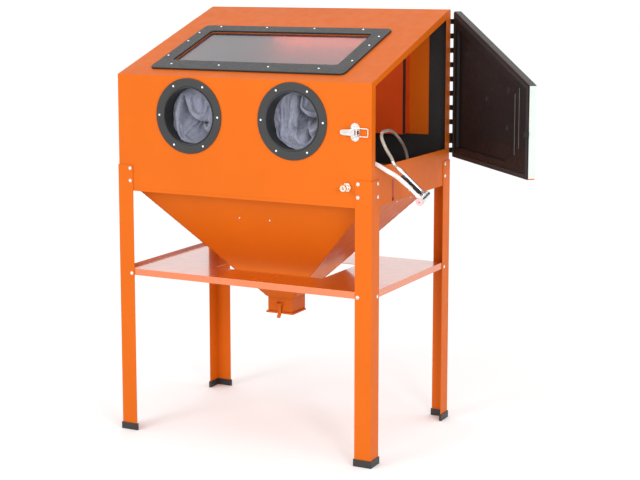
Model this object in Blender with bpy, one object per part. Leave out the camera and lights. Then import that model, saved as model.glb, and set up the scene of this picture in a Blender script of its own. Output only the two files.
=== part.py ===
"""Sandblast cabinet on four legs: folded sheet cabinet, hopper, side door, arm ports and blast gun.

Metres, +Z up, -Y is the operator's side and +X is the door's side. Every piece is laid out in the
cabinet's own frame, with X and Y measured from the middle of the four legs, and the empty named
cabinet_frame then moves them all, so that the whole outline stands centred on the origin.
"""

import math

import bmesh
import bpy
from mathutils import Matrix, Vector

MM = 0.001
GAP = 0.3 * MM
SHEET = 2.0 * MM

# Legs and cabinet body.
WIDTH = 0.960
DEPTH = 0.644
LEG_SHEET = 2.5 * MM
LEG_FLANGE = 0.059
LEG_TOP = 0.934
LEG_BOTTOM = 0.004
BODY_X = WIDTH / 2 - LEG_SHEET - GAP
BODY_Y = DEPTH / 2 - LEG_SHEET - GAP
BODY_BOTTOM = 0.845
FOLD_Z = 1.2425
TOP_Z = 1.457
TOP_FRONT_Y = 0.304
HEM = 0.014

# Arm ports in the front.
PORT_X = 0.195
PORT_Z = 1.111
RING_RADIUS = 0.1265
PORT_RADIUS = 0.0975
COLLAR_DEPTH = 0.060

# Window in the sloping face, measured along the slope from the front fold.
WINDOW_X = (-0.380, 0.355)
WINDOW_S = (0.052, 0.450)
GLASS_X = (-0.330, 0.300)
GLASS_S = (0.122, 0.400)
GLASS_THICKNESS = 4.0 * MM

# Door opening in the right side, and the door that covers it.
OPENING_Y = (-0.291, 0.283)
SILL_Z = 0.974
OPENING_TOP_FRONT = 1.232
OPENING_TOP_REAR = 1.4226
HINGE_X = 0.4695
HINGE_Y = 0.3262
HINGE_Z = (0.9547, 1.4297)
PIN_RADIUS = 2.0 * MM
KNUCKLE_RADIUS = 4.0 * MM
FINGER_PITCH = 0.050
FINGER_TOP = 1.4147
FINGER_COUNT = 10
DOOR_OPEN = math.radians(44.1)
DOOR_X = (0.480, 0.505)
DOOR_Y = (-0.315, 0.311)
DOOR_BOTTOM = 0.943
DOOR_TOP_FRONT = 1.237
DOOR_TOP_REAR = 1.450

# Hopper, outlet and shelf.
OUTLET_HALF = 0.0477
HOPPER_BOTTOM = 0.4602
HOPPER_TOP = 0.885
HOPPER_SLOPE_X = 1.0046
HOPPER_SLOPE_Y = 0.58
OUTLET_BOTTOM = 0.4118
SHELF_Z = 0.5655
SHELF_LIP_TOP = 0.5745
SHELF_BOTTOM = 0.5517
SHELF_CUTOUT = (0.210, 0.137)

# Pins under the outlet, as (y, z).
TRAP_PIN = (0.0575, 0.4085)
CATCH_PIN = (-0.0535, 0.4400)

# Exhaust spigot in the rear panel.
EXHAUST_X = 0.0
EXHAUST_Z = 1.330
EXHAUST_BORE = 0.046

# Air inlet in the front.
INLET_X = 0.395
INLET_Z = 0.911
INLET_THREAD = 0.0065

# Work grate inside the cabinet.
GRATE_Z = 0.897
GRATE_SHEET = 3.0 * MM

# Draw latch on the front, left and right of its lever's pin.
LATCH_Z = 1.087
LEVER_PIN = (0.430, -0.3325)
BAIL_PIN = (0.412, -0.3262)
BAIL_REACH = 0.4675

# Blast gun, hanging over the sill by its hoses.
GUN_HEAD = Vector((0.625, -0.230, 0.8875))
GUN_AIR_END = Vector((0.535, -0.254, 0.976))
GUN_NOZZLE_TOWARDS = Vector((-0.154, -0.951, -0.269))
AIR_HOSE_DIAMETER = 0.0105
SUCTION_HOSE_DIAMETER = 0.015

# The gun's own sizes, from the middle of its head: nozzle along X, handle along Z.
HEAD_RADIUS = 0.0115
HEAD_X = (-0.014, 0.0375)
STUB_X = 0.029
STUB_TOP = 0.045
HANDLE_RADIUS = 0.0065
HANDLE_TOP = 0.118
TRIGGER_PIN = (0.0115, 0.0175)
TRIGGER_BORE = 1.5 * MM + GAP

# The whole outline, with the door open, is centred on the origin by this move.
FRAME_SHIFT = Vector((-0.22959, -0.00385, 0.0))

FLAT = 12
ROUND = 32
GROUPS = {}


def clear_scene():
    for found in list(bpy.data.objects):
        bpy.data.objects.remove(found)


def material(name, colour, roughness, metallic=0.0, alpha=1.0):
    made = bpy.data.materials.new(name)
    made.use_nodes = True
    shader = made.node_tree.nodes["Principled BSDF"]
    shader.inputs["Base Color"].default_value = (*colour, 1.0)
    shader.inputs["Roughness"].default_value = roughness
    shader.inputs["Metallic"].default_value = metallic
    shader.inputs["Alpha"].default_value = alpha
    return made


def add_group(name, origin, parent=None, turn=None):
    """An empty on a joint's axis. Its pieces are laid out in the cabinet's frame, before the turn."""
    empty = bpy.data.objects.new(name, None)
    bpy.context.scene.collection.objects.link(empty)
    origin = Vector(origin)
    base = GROUPS[parent]["origin"] if parent else Vector()
    empty.location = origin - base
    if turn is not None:
        empty.rotation_euler = turn.to_euler()
    if parent:
        empty.parent = GROUPS[parent]["empty"]
    GROUPS[name] = {"empty": empty, "origin": origin}


def piece(name, mesh, made_of, group="cabinet_frame", smooth=None):
    """A named sub-part from a bmesh laid out in the cabinet's frame."""
    bmesh.ops.translate(mesh, verts=mesh.verts, vec=-GROUPS[group]["origin"])
    data = bpy.data.meshes.new(name)
    mesh.to_mesh(data)
    mesh.free()
    if smooth:
        data.shade_smooth()
        data.set_sharp_from_angle(angle=math.radians(smooth))
    data.materials.append(made_of)
    made = bpy.data.objects.new(name, data)
    bpy.context.scene.collection.objects.link(made)
    made.parent = GROUPS[group]["empty"]
    return made


def boolean(target, operation, meshes, group="cabinet_frame"):
    """Cuts the meshes from the target, or joins them to it, with a hidden helper."""
    merged = bmesh.new()
    for mesh in meshes:
        data = bpy.data.meshes.new("helper")
        mesh.to_mesh(data)
        mesh.free()
        merged.from_mesh(data)
        bpy.data.meshes.remove(data)
    number = len(target.modifiers)
    helper = piece(f"{target.name}.{operation.lower()}{number}", merged, target.data.materials[0], group)
    helper.hide_render = True
    helper.display_type = "WIRE"
    modifier = target.modifiers.new(f"{operation.lower()}{number}", "BOOLEAN")
    modifier.operation = operation
    modifier.object = helper
    return target


def cut(target, *meshes, group="cabinet_frame"):
    return boolean(target, "DIFFERENCE", meshes, group)


def join(target, *meshes, group="cabinet_frame"):
    return boolean(target, "UNION", meshes, group)


def place(axis, u, v, along):
    return {"X": (along, u, v), "Y": (u, along, v), "Z": (u, v, along)}[axis]


def prism(outline, axis, low, high):
    """A flat outline of two coordinates, extruded along the third from low to high."""
    mesh = bmesh.new()
    corners = [mesh.verts.new(place(axis, u, v, low)) for u, v in outline]
    face = mesh.faces.new(corners)
    grown = bmesh.ops.extrude_face_region(mesh, geom=[face])
    moved = [item for item in grown["geom"] if isinstance(item, bmesh.types.BMVert)]
    bmesh.ops.translate(mesh, verts=moved, vec=Vector(place(axis, 0, 0, high - low)))
    bmesh.ops.recalc_face_normals(mesh, faces=mesh.faces)
    return mesh


def box(x, y, z):
    return prism([(x[0], y[0]), (x[1], y[0]), (x[1], y[1]), (x[0], y[1])], "Z", z[0], z[1])


def about(centre, half):
    return (centre - half, centre + half)


def loft(loops, ring=False):
    """Faces between loops of equal length. A ring joins its last loop to its first, the rest are capped."""
    mesh = bmesh.new()
    rows = [[mesh.verts.new(point) for point in loop] for loop in loops]
    pairs = list(zip(rows, rows[1:]))
    if ring:
        pairs.append((rows[-1], rows[0]))
    for lower, upper in pairs:
        count = len(lower)
        for k in range(count):
            mesh.faces.new((lower[k], lower[(k + 1) % count], upper[(k + 1) % count], upper[k]))
    if not ring:
        mesh.faces.new(rows[0][::-1])
        mesh.faces.new(rows[-1])
    bmesh.ops.recalc_face_normals(mesh, faces=mesh.faces)
    return mesh


def across(direction):
    """Two unit vectors at right angles to a direction and to each other."""
    direction = Vector(direction).normalized()
    helper = Vector((0, 0, 1)) if abs(direction.z) < 0.9 else Vector((1, 0, 0))
    first = direction.cross(helper).normalized()
    return first, direction.cross(first)


def circle(centre, direction, radius, segments=ROUND, turn=0.0):
    first, second = across(direction)
    points = []
    for k in range(segments):
        angle = 2 * math.pi * k / segments + turn
        points.append(Vector(centre) + radius * (math.cos(angle) * first + math.sin(angle) * second))
    return points


def turned(profile, start, direction, segments=ROUND, ring=False, turn=0.0):
    """A profile of (radius, distance along) turned about the line from start. A ring closes on itself."""
    direction = Vector(direction).normalized()
    start = Vector(start)
    loops = [circle(start + along * direction, direction, radius, segments, turn) for radius, along in profile]
    return loft(loops, ring)


def rod(start, end, radius, segments=ROUND):
    length = (Vector(end) - Vector(start)).length
    return turned([(radius, 0.0), (radius, length)], start, Vector(end) - Vector(start), segments)


def offset_line(points, distance):
    """The line of points moved sideways, to its left for a positive distance, with mitred corners."""
    points = [Vector(point) for point in points]
    normals = []
    for a, b in zip(points, points[1:]):
        run = (b - a).normalized()
        normals.append(Vector((-run.y, run.x)))
    moved = []
    for k, point in enumerate(points):
        before = normals[max(k - 1, 0)]
        after = normals[min(k, len(normals) - 1)]
        mitre = (before + after).normalized()
        moved.append(tuple(point + mitre * (distance / mitre.dot(after))))
    return moved


def sheet_outline(points, thickness):
    """The edge view of a folded sheet whose one face follows the points, with the sheet on their left."""
    return [tuple(point) for point in points] + offset_line(points, thickness)[::-1]


def rounded(x, y, radius, steps=4):
    """A rectangle's outline with round corners."""
    points = []
    corners = [(x[1], y[1], 0), (x[0], y[1], 1), (x[0], y[0], 2), (x[1], y[0], 3)]
    for cx, cy, quarter in corners:
        sx = -1 if quarter in (0, 3) else 1
        sy = -1 if quarter in (0, 1) else 1
        for k in range(steps + 1):
            angle = math.pi / 2 * (quarter + k / steps)
            u = cx + sx * radius + radius * math.cos(angle)
            v = cy + sy * radius + radius * math.sin(angle)
            points.append((u, v))
    return points


def smooth_route(points, spacing):
    """Points at an even spacing along a smooth curve through the route's own points, with square ends."""
    points = [Vector(point) for point in points]
    padded = [2 * points[0] - points[1], *points, 2 * points[-1] - points[-2]]
    dense = []
    for a, b, c, d in zip(padded, padded[1:], padded[2:], padded[3:]):
        for k in range(24):
            t = k / 24
            square = (2 * a - 5 * b + 4 * c - d) * t**2
            cube = (3 * b - a - 3 * c + d) * t**3
            dense.append(0.5 * (2 * b + (c - a) * t + square + cube))
    dense.append(points[-1])
    walked = [0.0]
    for a, b in zip(dense, dense[1:]):
        walked.append(walked[-1] + (b - a).length)
    count = max(2, round(walked[-1] / spacing))
    even = []
    k = 0
    for step in range(count + 1):
        target = walked[-1] * step / count
        while k < len(walked) - 2 and walked[k + 1] < target:
            k += 1
        share = (target - walked[k]) / max(walked[k + 1] - walked[k], 1e-9)
        even.append(dense[k].lerp(dense[k + 1], min(max(share, 0.0), 1.0)))
    square = spacing / 5
    even.insert(1, points[0] + (points[1] - points[0]).normalized() * square)
    even.insert(-1, points[-1] + (points[-2] - points[-1]).normalized() * square)
    return even


def tube_along(name, points, diameter, made_of, resolution=3):
    """A hose: a curve with a round bevel and closed ends."""
    curve = bpy.data.curves.new(name, "CURVE")
    curve.dimensions = "3D"
    curve.bevel_depth = diameter / 2
    curve.bevel_resolution = resolution
    curve.use_fill_caps = True
    spline = curve.splines.new("POLY")
    spline.points.add(len(points) - 1)
    for target, point in zip(spline.points, points):
        target.co = (*point, 1.0)
    curve.materials.append(made_of)
    made = bpy.data.objects.new(name, curve)
    bpy.context.scene.collection.objects.link(made)
    made.parent = GROUPS["cabinet_frame"]["empty"]
    return made


# ---------------------------------------------------------------- cabinet body


def slope_direction():
    return Vector((0, TOP_FRONT_Y + BODY_Y, TOP_Z - FOLD_Z)).normalized()


def slope_frame():
    """A matrix from (x, distance up the slope, height above it) to the cabinet's frame."""
    up = slope_direction()
    out = Vector((0, -up.z, up.y))
    turn = Matrix((Vector((1, 0, 0)), up, out)).transposed().to_4x4()
    return Matrix.Translation((0, -BODY_Y, FOLD_Z)) @ turn


def on_slope(mesh):
    bmesh.ops.transform(mesh, matrix=slope_frame(), verts=mesh.verts)
    return mesh


def make_front_top_panel(paint):
    """One sheet folded over the front, the sloping face and the narrow top, with a hem at the bottom."""
    profile = [
        (-BODY_Y + HEM, BODY_BOTTOM),
        (-BODY_Y, BODY_BOTTOM),
        (-BODY_Y, FOLD_Z),
        (TOP_FRONT_Y, TOP_Z),
        (BODY_Y, TOP_Z),
    ]
    panel = piece("front_top_panel", prism(sheet_outline(profile, -SHEET), "X", -BODY_X, BODY_X), paint)
    out, inner = -BODY_Y - 0.01, -BODY_Y + 0.01
    ports = [rod((x, out, PORT_Z), (x, inner, PORT_Z), PORT_RADIUS, 40) for x in (-PORT_X, PORT_X)]
    window = on_slope(prism(rounded(GLASS_X, GLASS_S, 0.012), "Z", -0.01, 0.01))
    inlet = rod((INLET_X, out, INLET_Z), (INLET_X, inner, INLET_Z), INLET_THREAD + GAP, 20)
    cut(panel, *ports, window, inlet)


def side_profile():
    """The side's outline inside the folded front and top sheet and the rear panel."""
    inner = offset_line(
        [(-BODY_Y, BODY_BOTTOM), (-BODY_Y, FOLD_Z), (TOP_FRONT_Y, TOP_Z), (BODY_Y, TOP_Z)], -(SHEET + GAP)
    )
    inner[0] = (inner[0][0], BODY_BOTTOM + SHEET + GAP)
    inner[-1] = (BODY_Y - SHEET - GAP, inner[-1][1])
    return inner + [(BODY_Y - SHEET - GAP, BODY_BOTTOM + SHEET + GAP)]


def make_side_panels(paint):
    hem_y = BODY_Y - 0.03
    for name, side in (("left_side_panel", -1), ("right_side_panel", 1)):
        faces = sorted((side * BODY_X, side * (BODY_X - SHEET)))
        panel = piece(name, prism(side_profile(), "X", *faces), paint)
        inward = sorted((side * (BODY_X - SHEET / 2), side * (BODY_X - HEM)))
        z = (BODY_BOTTOM + SHEET + GAP, BODY_BOTTOM + 2 * SHEET + GAP)
        join(panel, box(inward, (-hem_y, hem_y), z))
        if side > 0:
            opening = [
                (OPENING_Y[0], SILL_Z),
                (OPENING_Y[1], SILL_Z),
                (OPENING_Y[1], OPENING_TOP_REAR),
                (OPENING_Y[0], OPENING_TOP_FRONT),
            ]
            cut(panel, prism(opening, "X", BODY_X - 0.01, BODY_X + 0.01))


def make_rear_panel(paint):
    y = (BODY_Y - SHEET, BODY_Y)
    panel = piece("rear_panel", box((-BODY_X, BODY_X), y, (BODY_BOTTOM, TOP_Z - SHEET - GAP)), paint)
    ends = [(EXHAUST_X, BODY_Y + offset, EXHAUST_Z) for offset in (-0.01, 0.01)]
    cut(panel, rod(*ends, EXHAUST_BORE + GAP, 28))


def make_exhaust(paint, metal):
    """A spigot for the dust collector's hose, and the baffle that stops grit flying straight into it."""
    profile = [
        (EXHAUST_BORE - SHEET, -0.012),
        (EXHAUST_BORE, -0.012),
        (EXHAUST_BORE, GAP),
        (EXHAUST_BORE + 0.016, GAP),
        (EXHAUST_BORE + 0.016, GAP + SHEET),
        (EXHAUST_BORE, GAP + SHEET),
        (EXHAUST_BORE, 0.045),
        (EXHAUST_BORE - SHEET, 0.045),
    ]
    piece(
        "exhaust_spigot",
        turned(profile, (EXHAUST_X, BODY_Y, EXHAUST_Z), (0, 1, 0), 28, ring=True),
        metal,
        smooth=40,
    )
    back = BODY_Y - SHEET - GAP
    baffle = piece("exhaust_baffle", box((-0.330, 0.325), (back - 0.060, back), (1.020, 1.440)), paint)
    hollow = box((-0.328, 0.323), (back - 0.058, back + 0.01), (1.00, 1.4385))
    slope = prism([(0.20, 1.412), (0.40, 1.412 + 0.2 * 0.342), (0.40, 1.55), (0.20, 1.55)], "X", -0.4, 0.4)
    cut(baffle, hollow)
    cut(baffle, slope)


def make_rear_liner(rubber):
    """A wear sheet on the inside of the rear panel, below and beside the baffle."""
    y = (BODY_Y - SHEET - GAP - 2.0 * MM, BODY_Y - SHEET - GAP)
    outline = [(-0.462, 0.905), (0.468, 0.905), (0.468, 1.425)]
    outline += [(0.400, 1.425), (0.400, 1.018), (-0.462, 1.018)]
    piece("rear_liner", prism(outline, "Y", *y), rubber)


def angle_outline(sx, sy, out, inner, length):
    """An angle section at the corner (sx, sy), with its outer faces moved out by a distance."""
    x, y = sx * (WIDTH / 2 + out), sy * (DEPTH / 2 + out)
    xi, yi = sx * (WIDTH / 2 - inner), sy * (DEPTH / 2 - inner)
    xe, ye = sx * (WIDTH / 2 - length), sy * (DEPTH / 2 - length)
    return [(x, y), (xe, y), (xe, yi), (xi, yi), (xi, ye), (x, ye)]


def make_legs(paint, plastic):
    for name, sx, sy in (
        ("front_left", -1, -1),
        ("front_right", 1, -1),
        ("rear_left", -1, 1),
        ("rear_right", 1, 1),
    ):
        leg = angle_outline(sx, sy, 0.0, LEG_SHEET, LEG_FLANGE)
        piece(f"leg_{name}", prism(leg, "Z", LEG_BOTTOM, LEG_TOP), paint)
        wall = 3.0 * MM
        boot = angle_outline(sx, sy, wall, LEG_SHEET + wall, LEG_FLANGE + wall)
        cap = piece(
            f"foot_{name}",
            prism(boot, "Z", 0.0, 0.024),
            plastic,
        )
        pocket = angle_outline(sx, sy, GAP, LEG_SHEET + GAP, LEG_FLANGE + GAP)
        cut(cap, prism(pocket, "Z", LEG_BOTTOM - GAP, 0.030))


# ---------------------------------------------------------------- hopper, outlet and shelf


def rectangle(half_x, half_y, z):
    return [(-half_x, -half_y, z), (half_x, -half_y, z), (half_x, half_y, z), (-half_x, half_y, z)]


def make_hopper(paint):
    """Four sloping walls between a flange under the work grate and a short neck inside the outlet."""
    rise = HOPPER_TOP - HOPPER_BOTTOM
    half_x = OUTLET_HALF + HOPPER_SLOPE_X * rise
    half_y = OUTLET_HALF + HOPPER_SLOPE_Y * rise
    in_x = SHEET * math.hypot(1, HOPPER_SLOPE_X)
    in_y = SHEET * math.hypot(1, HOPPER_SLOPE_Y)
    neck = OUTLET_HALF - SHEET - GAP
    flange_x = BODY_X - SHEET - GAP
    flange_y = BODY_Y - SHEET - GAP
    loops = [
        rectangle(neck, neck, HOPPER_BOTTOM - 0.008),
        rectangle(neck, neck, HOPPER_BOTTOM),
        rectangle(OUTLET_HALF, OUTLET_HALF, HOPPER_BOTTOM),
        rectangle(half_x, half_y, HOPPER_TOP),
        rectangle(flange_x, flange_y, HOPPER_TOP + 0.0001),
        rectangle(flange_x, flange_y, HOPPER_TOP + SHEET),
        rectangle(half_x - in_x, half_y - in_y, HOPPER_TOP + SHEET),
        rectangle(neck - SHEET, neck - SHEET, HOPPER_BOTTOM),
        rectangle(neck - SHEET, neck - SHEET, HOPPER_BOTTOM - 0.008),
    ]
    piece("hopper", loft(loops, ring=True), paint)


def make_outlet(paint, steel):
    """A square spout with ears for the trap door's pin behind and the catch's pin in front."""
    top = HOPPER_BOTTOM - GAP
    half = OUTLET_HALF
    inner = half - SHEET
    spout = piece("outlet_box", box((-half, half), (-half, half), (OUTLET_BOTTOM, top)), paint)
    cut(spout, box((-inner, inner), (-inner, inner), (OUTLET_BOTTOM - 0.01, top + 0.01)))
    ears = []
    behind = (half - 0.0005, TRAP_PIN[0] + 0.0045)
    before = (CATCH_PIN[0] - 0.0040, -half + 0.0005)
    for x in (-0.030, 0.030):
        ears.append(box(about(x, 0.0015), behind, (TRAP_PIN[1] - 0.0045, 0.4230)))
    for x in (-0.0095, 0.0095):
        ears.append(box(about(x, 0.0010), before, about(CATCH_PIN[1], 0.0050)))
    join(spout, *ears)
    trap_bore = rod((-0.05, *TRAP_PIN), (0.05, *TRAP_PIN), PIN_RADIUS + GAP, FLAT)
    catch_bore = rod((-0.02, *CATCH_PIN), (0.02, *CATCH_PIN), 1.5 * MM + GAP, FLAT)
    cut(spout, trap_bore, catch_bore)
    piece("trap_door_pin", rod((-0.0340, *TRAP_PIN), (0.0340, *TRAP_PIN), PIN_RADIUS, FLAT), steel, smooth=40)
    piece("catch_pin", rod((-0.0120, *CATCH_PIN), (0.0120, *CATCH_PIN), 1.5 * MM, FLAT), steel, smooth=40)


def make_trap_door(paint):
    """The plate under the spout, hinged behind, with a notch in front for the catch."""
    add_group("trap_door_axis", (0.0, *TRAP_PIN), "cabinet_frame")
    group = "trap_door_axis"
    z = (0.4055, OUTLET_BOTTOM - GAP)
    outline = [(-0.053, 0.0450), (-0.053, -0.053), (-0.012, -0.053), (-0.012, -0.0465)]
    outline += [(-x, y) for x, y in outline[::-1]]
    plate = piece("trap_door", prism(outline, "Z", *z), paint, group)
    knuckle = rod((-0.0270, *TRAP_PIN), (0.0270, *TRAP_PIN), 0.0042, 16)
    web = box((-0.0270, 0.0270), (0.0440, TRAP_PIN[0]), (z[0], z[0] + 0.0030))
    join(plate, web, group=group)
    join(plate, knuckle, group=group)
    cut(plate, rod((-0.04, *TRAP_PIN), (0.04, *TRAP_PIN), PIN_RADIUS + GAP, FLAT), group=group)


def make_trap_catch(steel):
    """A strap that swings forward. At rest its nose lies in the notch at the trap door's front edge."""
    add_group("trap_catch_axis", (0.0, *CATCH_PIN), "cabinet_frame")
    y = CATCH_PIN[0]
    back = y + 0.0012
    outline = [
        (y - 0.0012, 0.4400),
        (y - 0.0012, 0.4035),
        (y - 0.0085, 0.3930),
        (y - 0.0068, 0.3915),
        (back, 0.4025),
        (back, 0.4060),
        (-0.0485, 0.4060),
        (-0.0470, 0.4085),
        (-0.0485, 0.4110),
        (back, 0.4110),
        (back, 0.4400),
    ]
    strap = piece("trap_catch", prism(outline, "X", -0.0070, 0.0070), steel, "trap_catch_axis")
    join(strap, rod((-0.0080, *CATCH_PIN), (0.0080, *CATCH_PIN), 0.0034, FLAT), group="trap_catch_axis")
    cut(strap, rod((-0.02, *CATCH_PIN), (0.02, *CATCH_PIN), 1.5 * MM + GAP, FLAT), group="trap_catch_axis")


def make_shelf(paint):
    """A tray between the legs, with a raised lip in front and at the sides and a cut-out round the hopper."""
    x, y = BODY_X, BODY_Y
    tray = piece("shelf", box((-x, x), (-y, y), (SHELF_BOTTOM, SHELF_LIP_TOP)), paint)
    inner_x, inner_y = x - SHEET, y - SHEET
    above = box((-inner_x, inner_x), (-inner_y, y + 0.01), (SHELF_Z, SHELF_LIP_TOP + 0.01))
    below = box((-inner_x, inner_x), (-inner_y, inner_y), (SHELF_BOTTOM - 0.01, SHELF_Z - SHEET))
    cut_x, cut_y = SHELF_CUTOUT
    middle = box((-cut_x, cut_x), (-cut_y, cut_y), (SHELF_Z - 0.02, SHELF_Z + 0.02))
    cut(tray, above)
    cut(tray, below)
    cut(tray, middle)


# ---------------------------------------------------------------- window


def make_window(frame_plastic, rubber, glass, steel):
    """Gasket and frame outside the sloping face, the pane and its clamping ring inside."""
    outer = rounded(WINDOW_X, WINDOW_S, 0.018)
    hole = rounded(GLASS_X, GLASS_S, 0.012)
    gasket = piece("window_gasket", on_slope(prism(outer, "Z", GAP, 2.2 * MM)), rubber)
    cut(gasket, on_slope(prism(hole, "Z", -0.01, 0.02)))
    frame = piece("window_frame", on_slope(prism(outer, "Z", 2.5 * MM, 7.0 * MM)), frame_plastic)
    cut(frame, on_slope(prism(hole, "Z", -0.01, 0.02)))
    pane_x = (GLASS_X[0] - 0.016, GLASS_X[1] + 0.016)
    pane_s = (GLASS_S[0] - 0.016, GLASS_S[1] + 0.016)
    under = -SHEET - GAP
    pane = prism(rounded(pane_x, pane_s, 0.008), "Z", under - GLASS_THICKNESS, under)
    piece("window_glass", on_slope(pane), glass)
    ring_x = (pane_x[0] - 0.010, pane_x[1] + 0.010)
    ring_s = (pane_s[0] - 0.010, pane_s[1] + 0.010)
    low = under - GLASS_THICKNESS - GAP
    plate = prism(rounded(ring_x, ring_s, 0.010), "Z", low - SHEET, low)
    ring = piece("window_clamp_ring", on_slope(plate), steel)
    cut(ring, on_slope(prism(rounded(GLASS_X, GLASS_S, 0.012), "Z", low - 0.01, low + 0.01)))


# ---------------------------------------------------------------- arm ports


def make_arm_ports(plastic, fabric):
    for side, x in (("left", -PORT_X), ("right", PORT_X)):
        front = (x, -BODY_Y, PORT_Z)
        out = (0, -1, 0)
        ring_profile = [
            (PORT_RADIUS, GAP),
            (RING_RADIUS, GAP),
            (RING_RADIUS, 3.2 * MM),
            (RING_RADIUS - 1.5 * MM, 4.5 * MM),
            (PORT_RADIUS + 1.5 * MM, 4.5 * MM),
            (PORT_RADIUS, 3.2 * MM),
        ]
        piece(f"arm_ring_{side}", turned(ring_profile, front, out, 40, ring=True), plastic, smooth=40)
        outer = PORT_RADIUS - GAP
        bore = outer - 3.5 * MM
        collar_profile = [(outer, -COLLAR_DEPTH), (outer, 5.5 * MM), (bore, 5.5 * MM), (bore, -COLLAR_DEPTH)]
        piece(f"arm_collar_{side}", turned(collar_profile, front, out, 40, ring=True), plastic, smooth=40)
        make_glove(f"glove_{side}", x, bore - GAP, fabric)


def make_glove(name, x, mouth, fabric):
    """A sleeve clamped inside the collar, with a glove at its end: a plain tapered bag, open in front."""
    wall = 3.0 * MM
    sleeve = [
        (-BODY_Y + 0.002, PORT_Z, mouth),
        (-BODY_Y + COLLAR_DEPTH, PORT_Z, mouth),
        (-0.170, PORT_Z - 0.008, 0.078),
        (-0.090, PORT_Z - 0.045, 0.066),
        (-0.035, PORT_Z - 0.085, 0.056),
        (0.010, PORT_Z - 0.120, 0.034),
    ]
    outer = []
    inner = []
    for k, (y, z, radius) in enumerate(sleeve):
        before = sleeve[max(k - 1, 0)]
        after = sleeve[min(k + 1, len(sleeve) - 1)]
        direction = Vector((0, after[0] - before[0], after[1] - before[1]))
        if k < 2:
            direction = Vector((0, 1, 0))
        outer.append(circle((x, y, z), direction, radius, 20))
        inner.append(circle((x, y - (wall if k == len(sleeve) - 1 else 0), z), direction, radius - wall, 20))
    mesh = bmesh.new()
    rows = [[mesh.verts.new(point) for point in loop] for loop in outer[::-1] + inner]
    for lower, upper in zip(rows, rows[1:]):
        for k in range(20):
            mesh.faces.new((lower[k], lower[(k + 1) % 20], upper[(k + 1) % 20], upper[k]))
    mesh.faces.new(rows[0])
    mesh.faces.new(rows[-1])
    bmesh.ops.recalc_face_normals(mesh, faces=mesh.faces)
    piece(name, mesh, fabric, smooth=50)


# ---------------------------------------------------------------- inside the cabinet


def make_grate(steel):
    """A slotted plate to work on, on a bar in front and one behind. One corner is open for the hose."""
    z = (GRATE_Z, GRATE_Z + GRATE_SHEET)
    outline = [(-0.450, -0.300), (0.300, -0.300), (0.300, -0.110)]
    outline += [(0.420, -0.110), (0.420, 0.300), (-0.450, 0.300)]
    plate = piece("work_grate", prism(outline, "Z", *z), steel)
    slots = []
    for row in range(4):
        for column in range(10):
            x = -0.405 + column * 0.072
            y = -0.225 + row * 0.145
            slots.append(box((x, x + 0.045), about(y, 0.045), (GRATE_Z - 0.01, GRATE_Z + 0.01)))
    cut(plate, *slots)
    for name, y in (("grate_bar_front", -0.296), ("grate_bar_rear", 0.296)):
        bar = box((-0.440, 0.290), about(y, 0.010), (HOPPER_TOP + SHEET + GAP, GRATE_Z - GAP))
        piece(name, bar, steel)


def make_lamp(metal, lens):
    """A strip lamp under the narrow top, in front of the baffle."""
    front = [(0.196, 1.384), (0.196, 1.408), (0.240, 1.423), (0.240, 1.384)]
    housing = piece("lamp_housing", prism(front, "X", -0.200, 0.200), metal)
    cut(housing, box((-0.190, 0.190), (0.202, 0.234), (1.37, 1.398)))
    piece("lamp_lens", box((-0.1897, 0.1897), (0.2023, 0.2337), (1.3800, 1.3900)), lens)


def make_air_inlet(brass, steel):
    """A coupling screwed through the front: hexagon flange and plug outside, locknut and hose tail inside."""
    start = (INLET_X, -BODY_Y - GAP, INLET_Z)
    nipple = piece(
        "air_inlet_nipple",
        turned([(0.0150, 0.0), (0.0150, 0.0090)], start, (0, -1, 0), 6),
        brass,
    )
    plug_profile = [(0.0110, 0.008), (0.0110, 0.020), (0.0085, 0.022)]
    plug_profile += [(0.0085, 0.030), (0.0102, 0.032), (0.0102, 0.037)]
    plug = turned(plug_profile, start, (0, -1, 0), 24)
    tail_profile = [(INLET_THREAD, -0.001), (INLET_THREAD, 0.020), (0.0050, 0.021), (0.0050, 0.038)]
    tail = turned(tail_profile, start, (0, 1, 0), 20)
    join(nipple, plug)
    join(nipple, tail)
    cut(nipple, turned([(0.0045, 0.022), (0.0045, 0.045)], start, (0, -1, 0), 16))
    nut_start = (INLET_X, -BODY_Y + SHEET + GAP, INLET_Z)
    hexagon = turned([(0.0120, 0.0), (0.0120, 0.0070)], nut_start, (0, 1, 0), 6)
    nut = piece("air_inlet_locknut", hexagon, steel)
    cut(nut, turned([(INLET_THREAD + GAP, -0.01), (INLET_THREAD + GAP, 0.02)], nut_start, (0, 1, 0), 20))


# ---------------------------------------------------------------- draw latch


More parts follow.
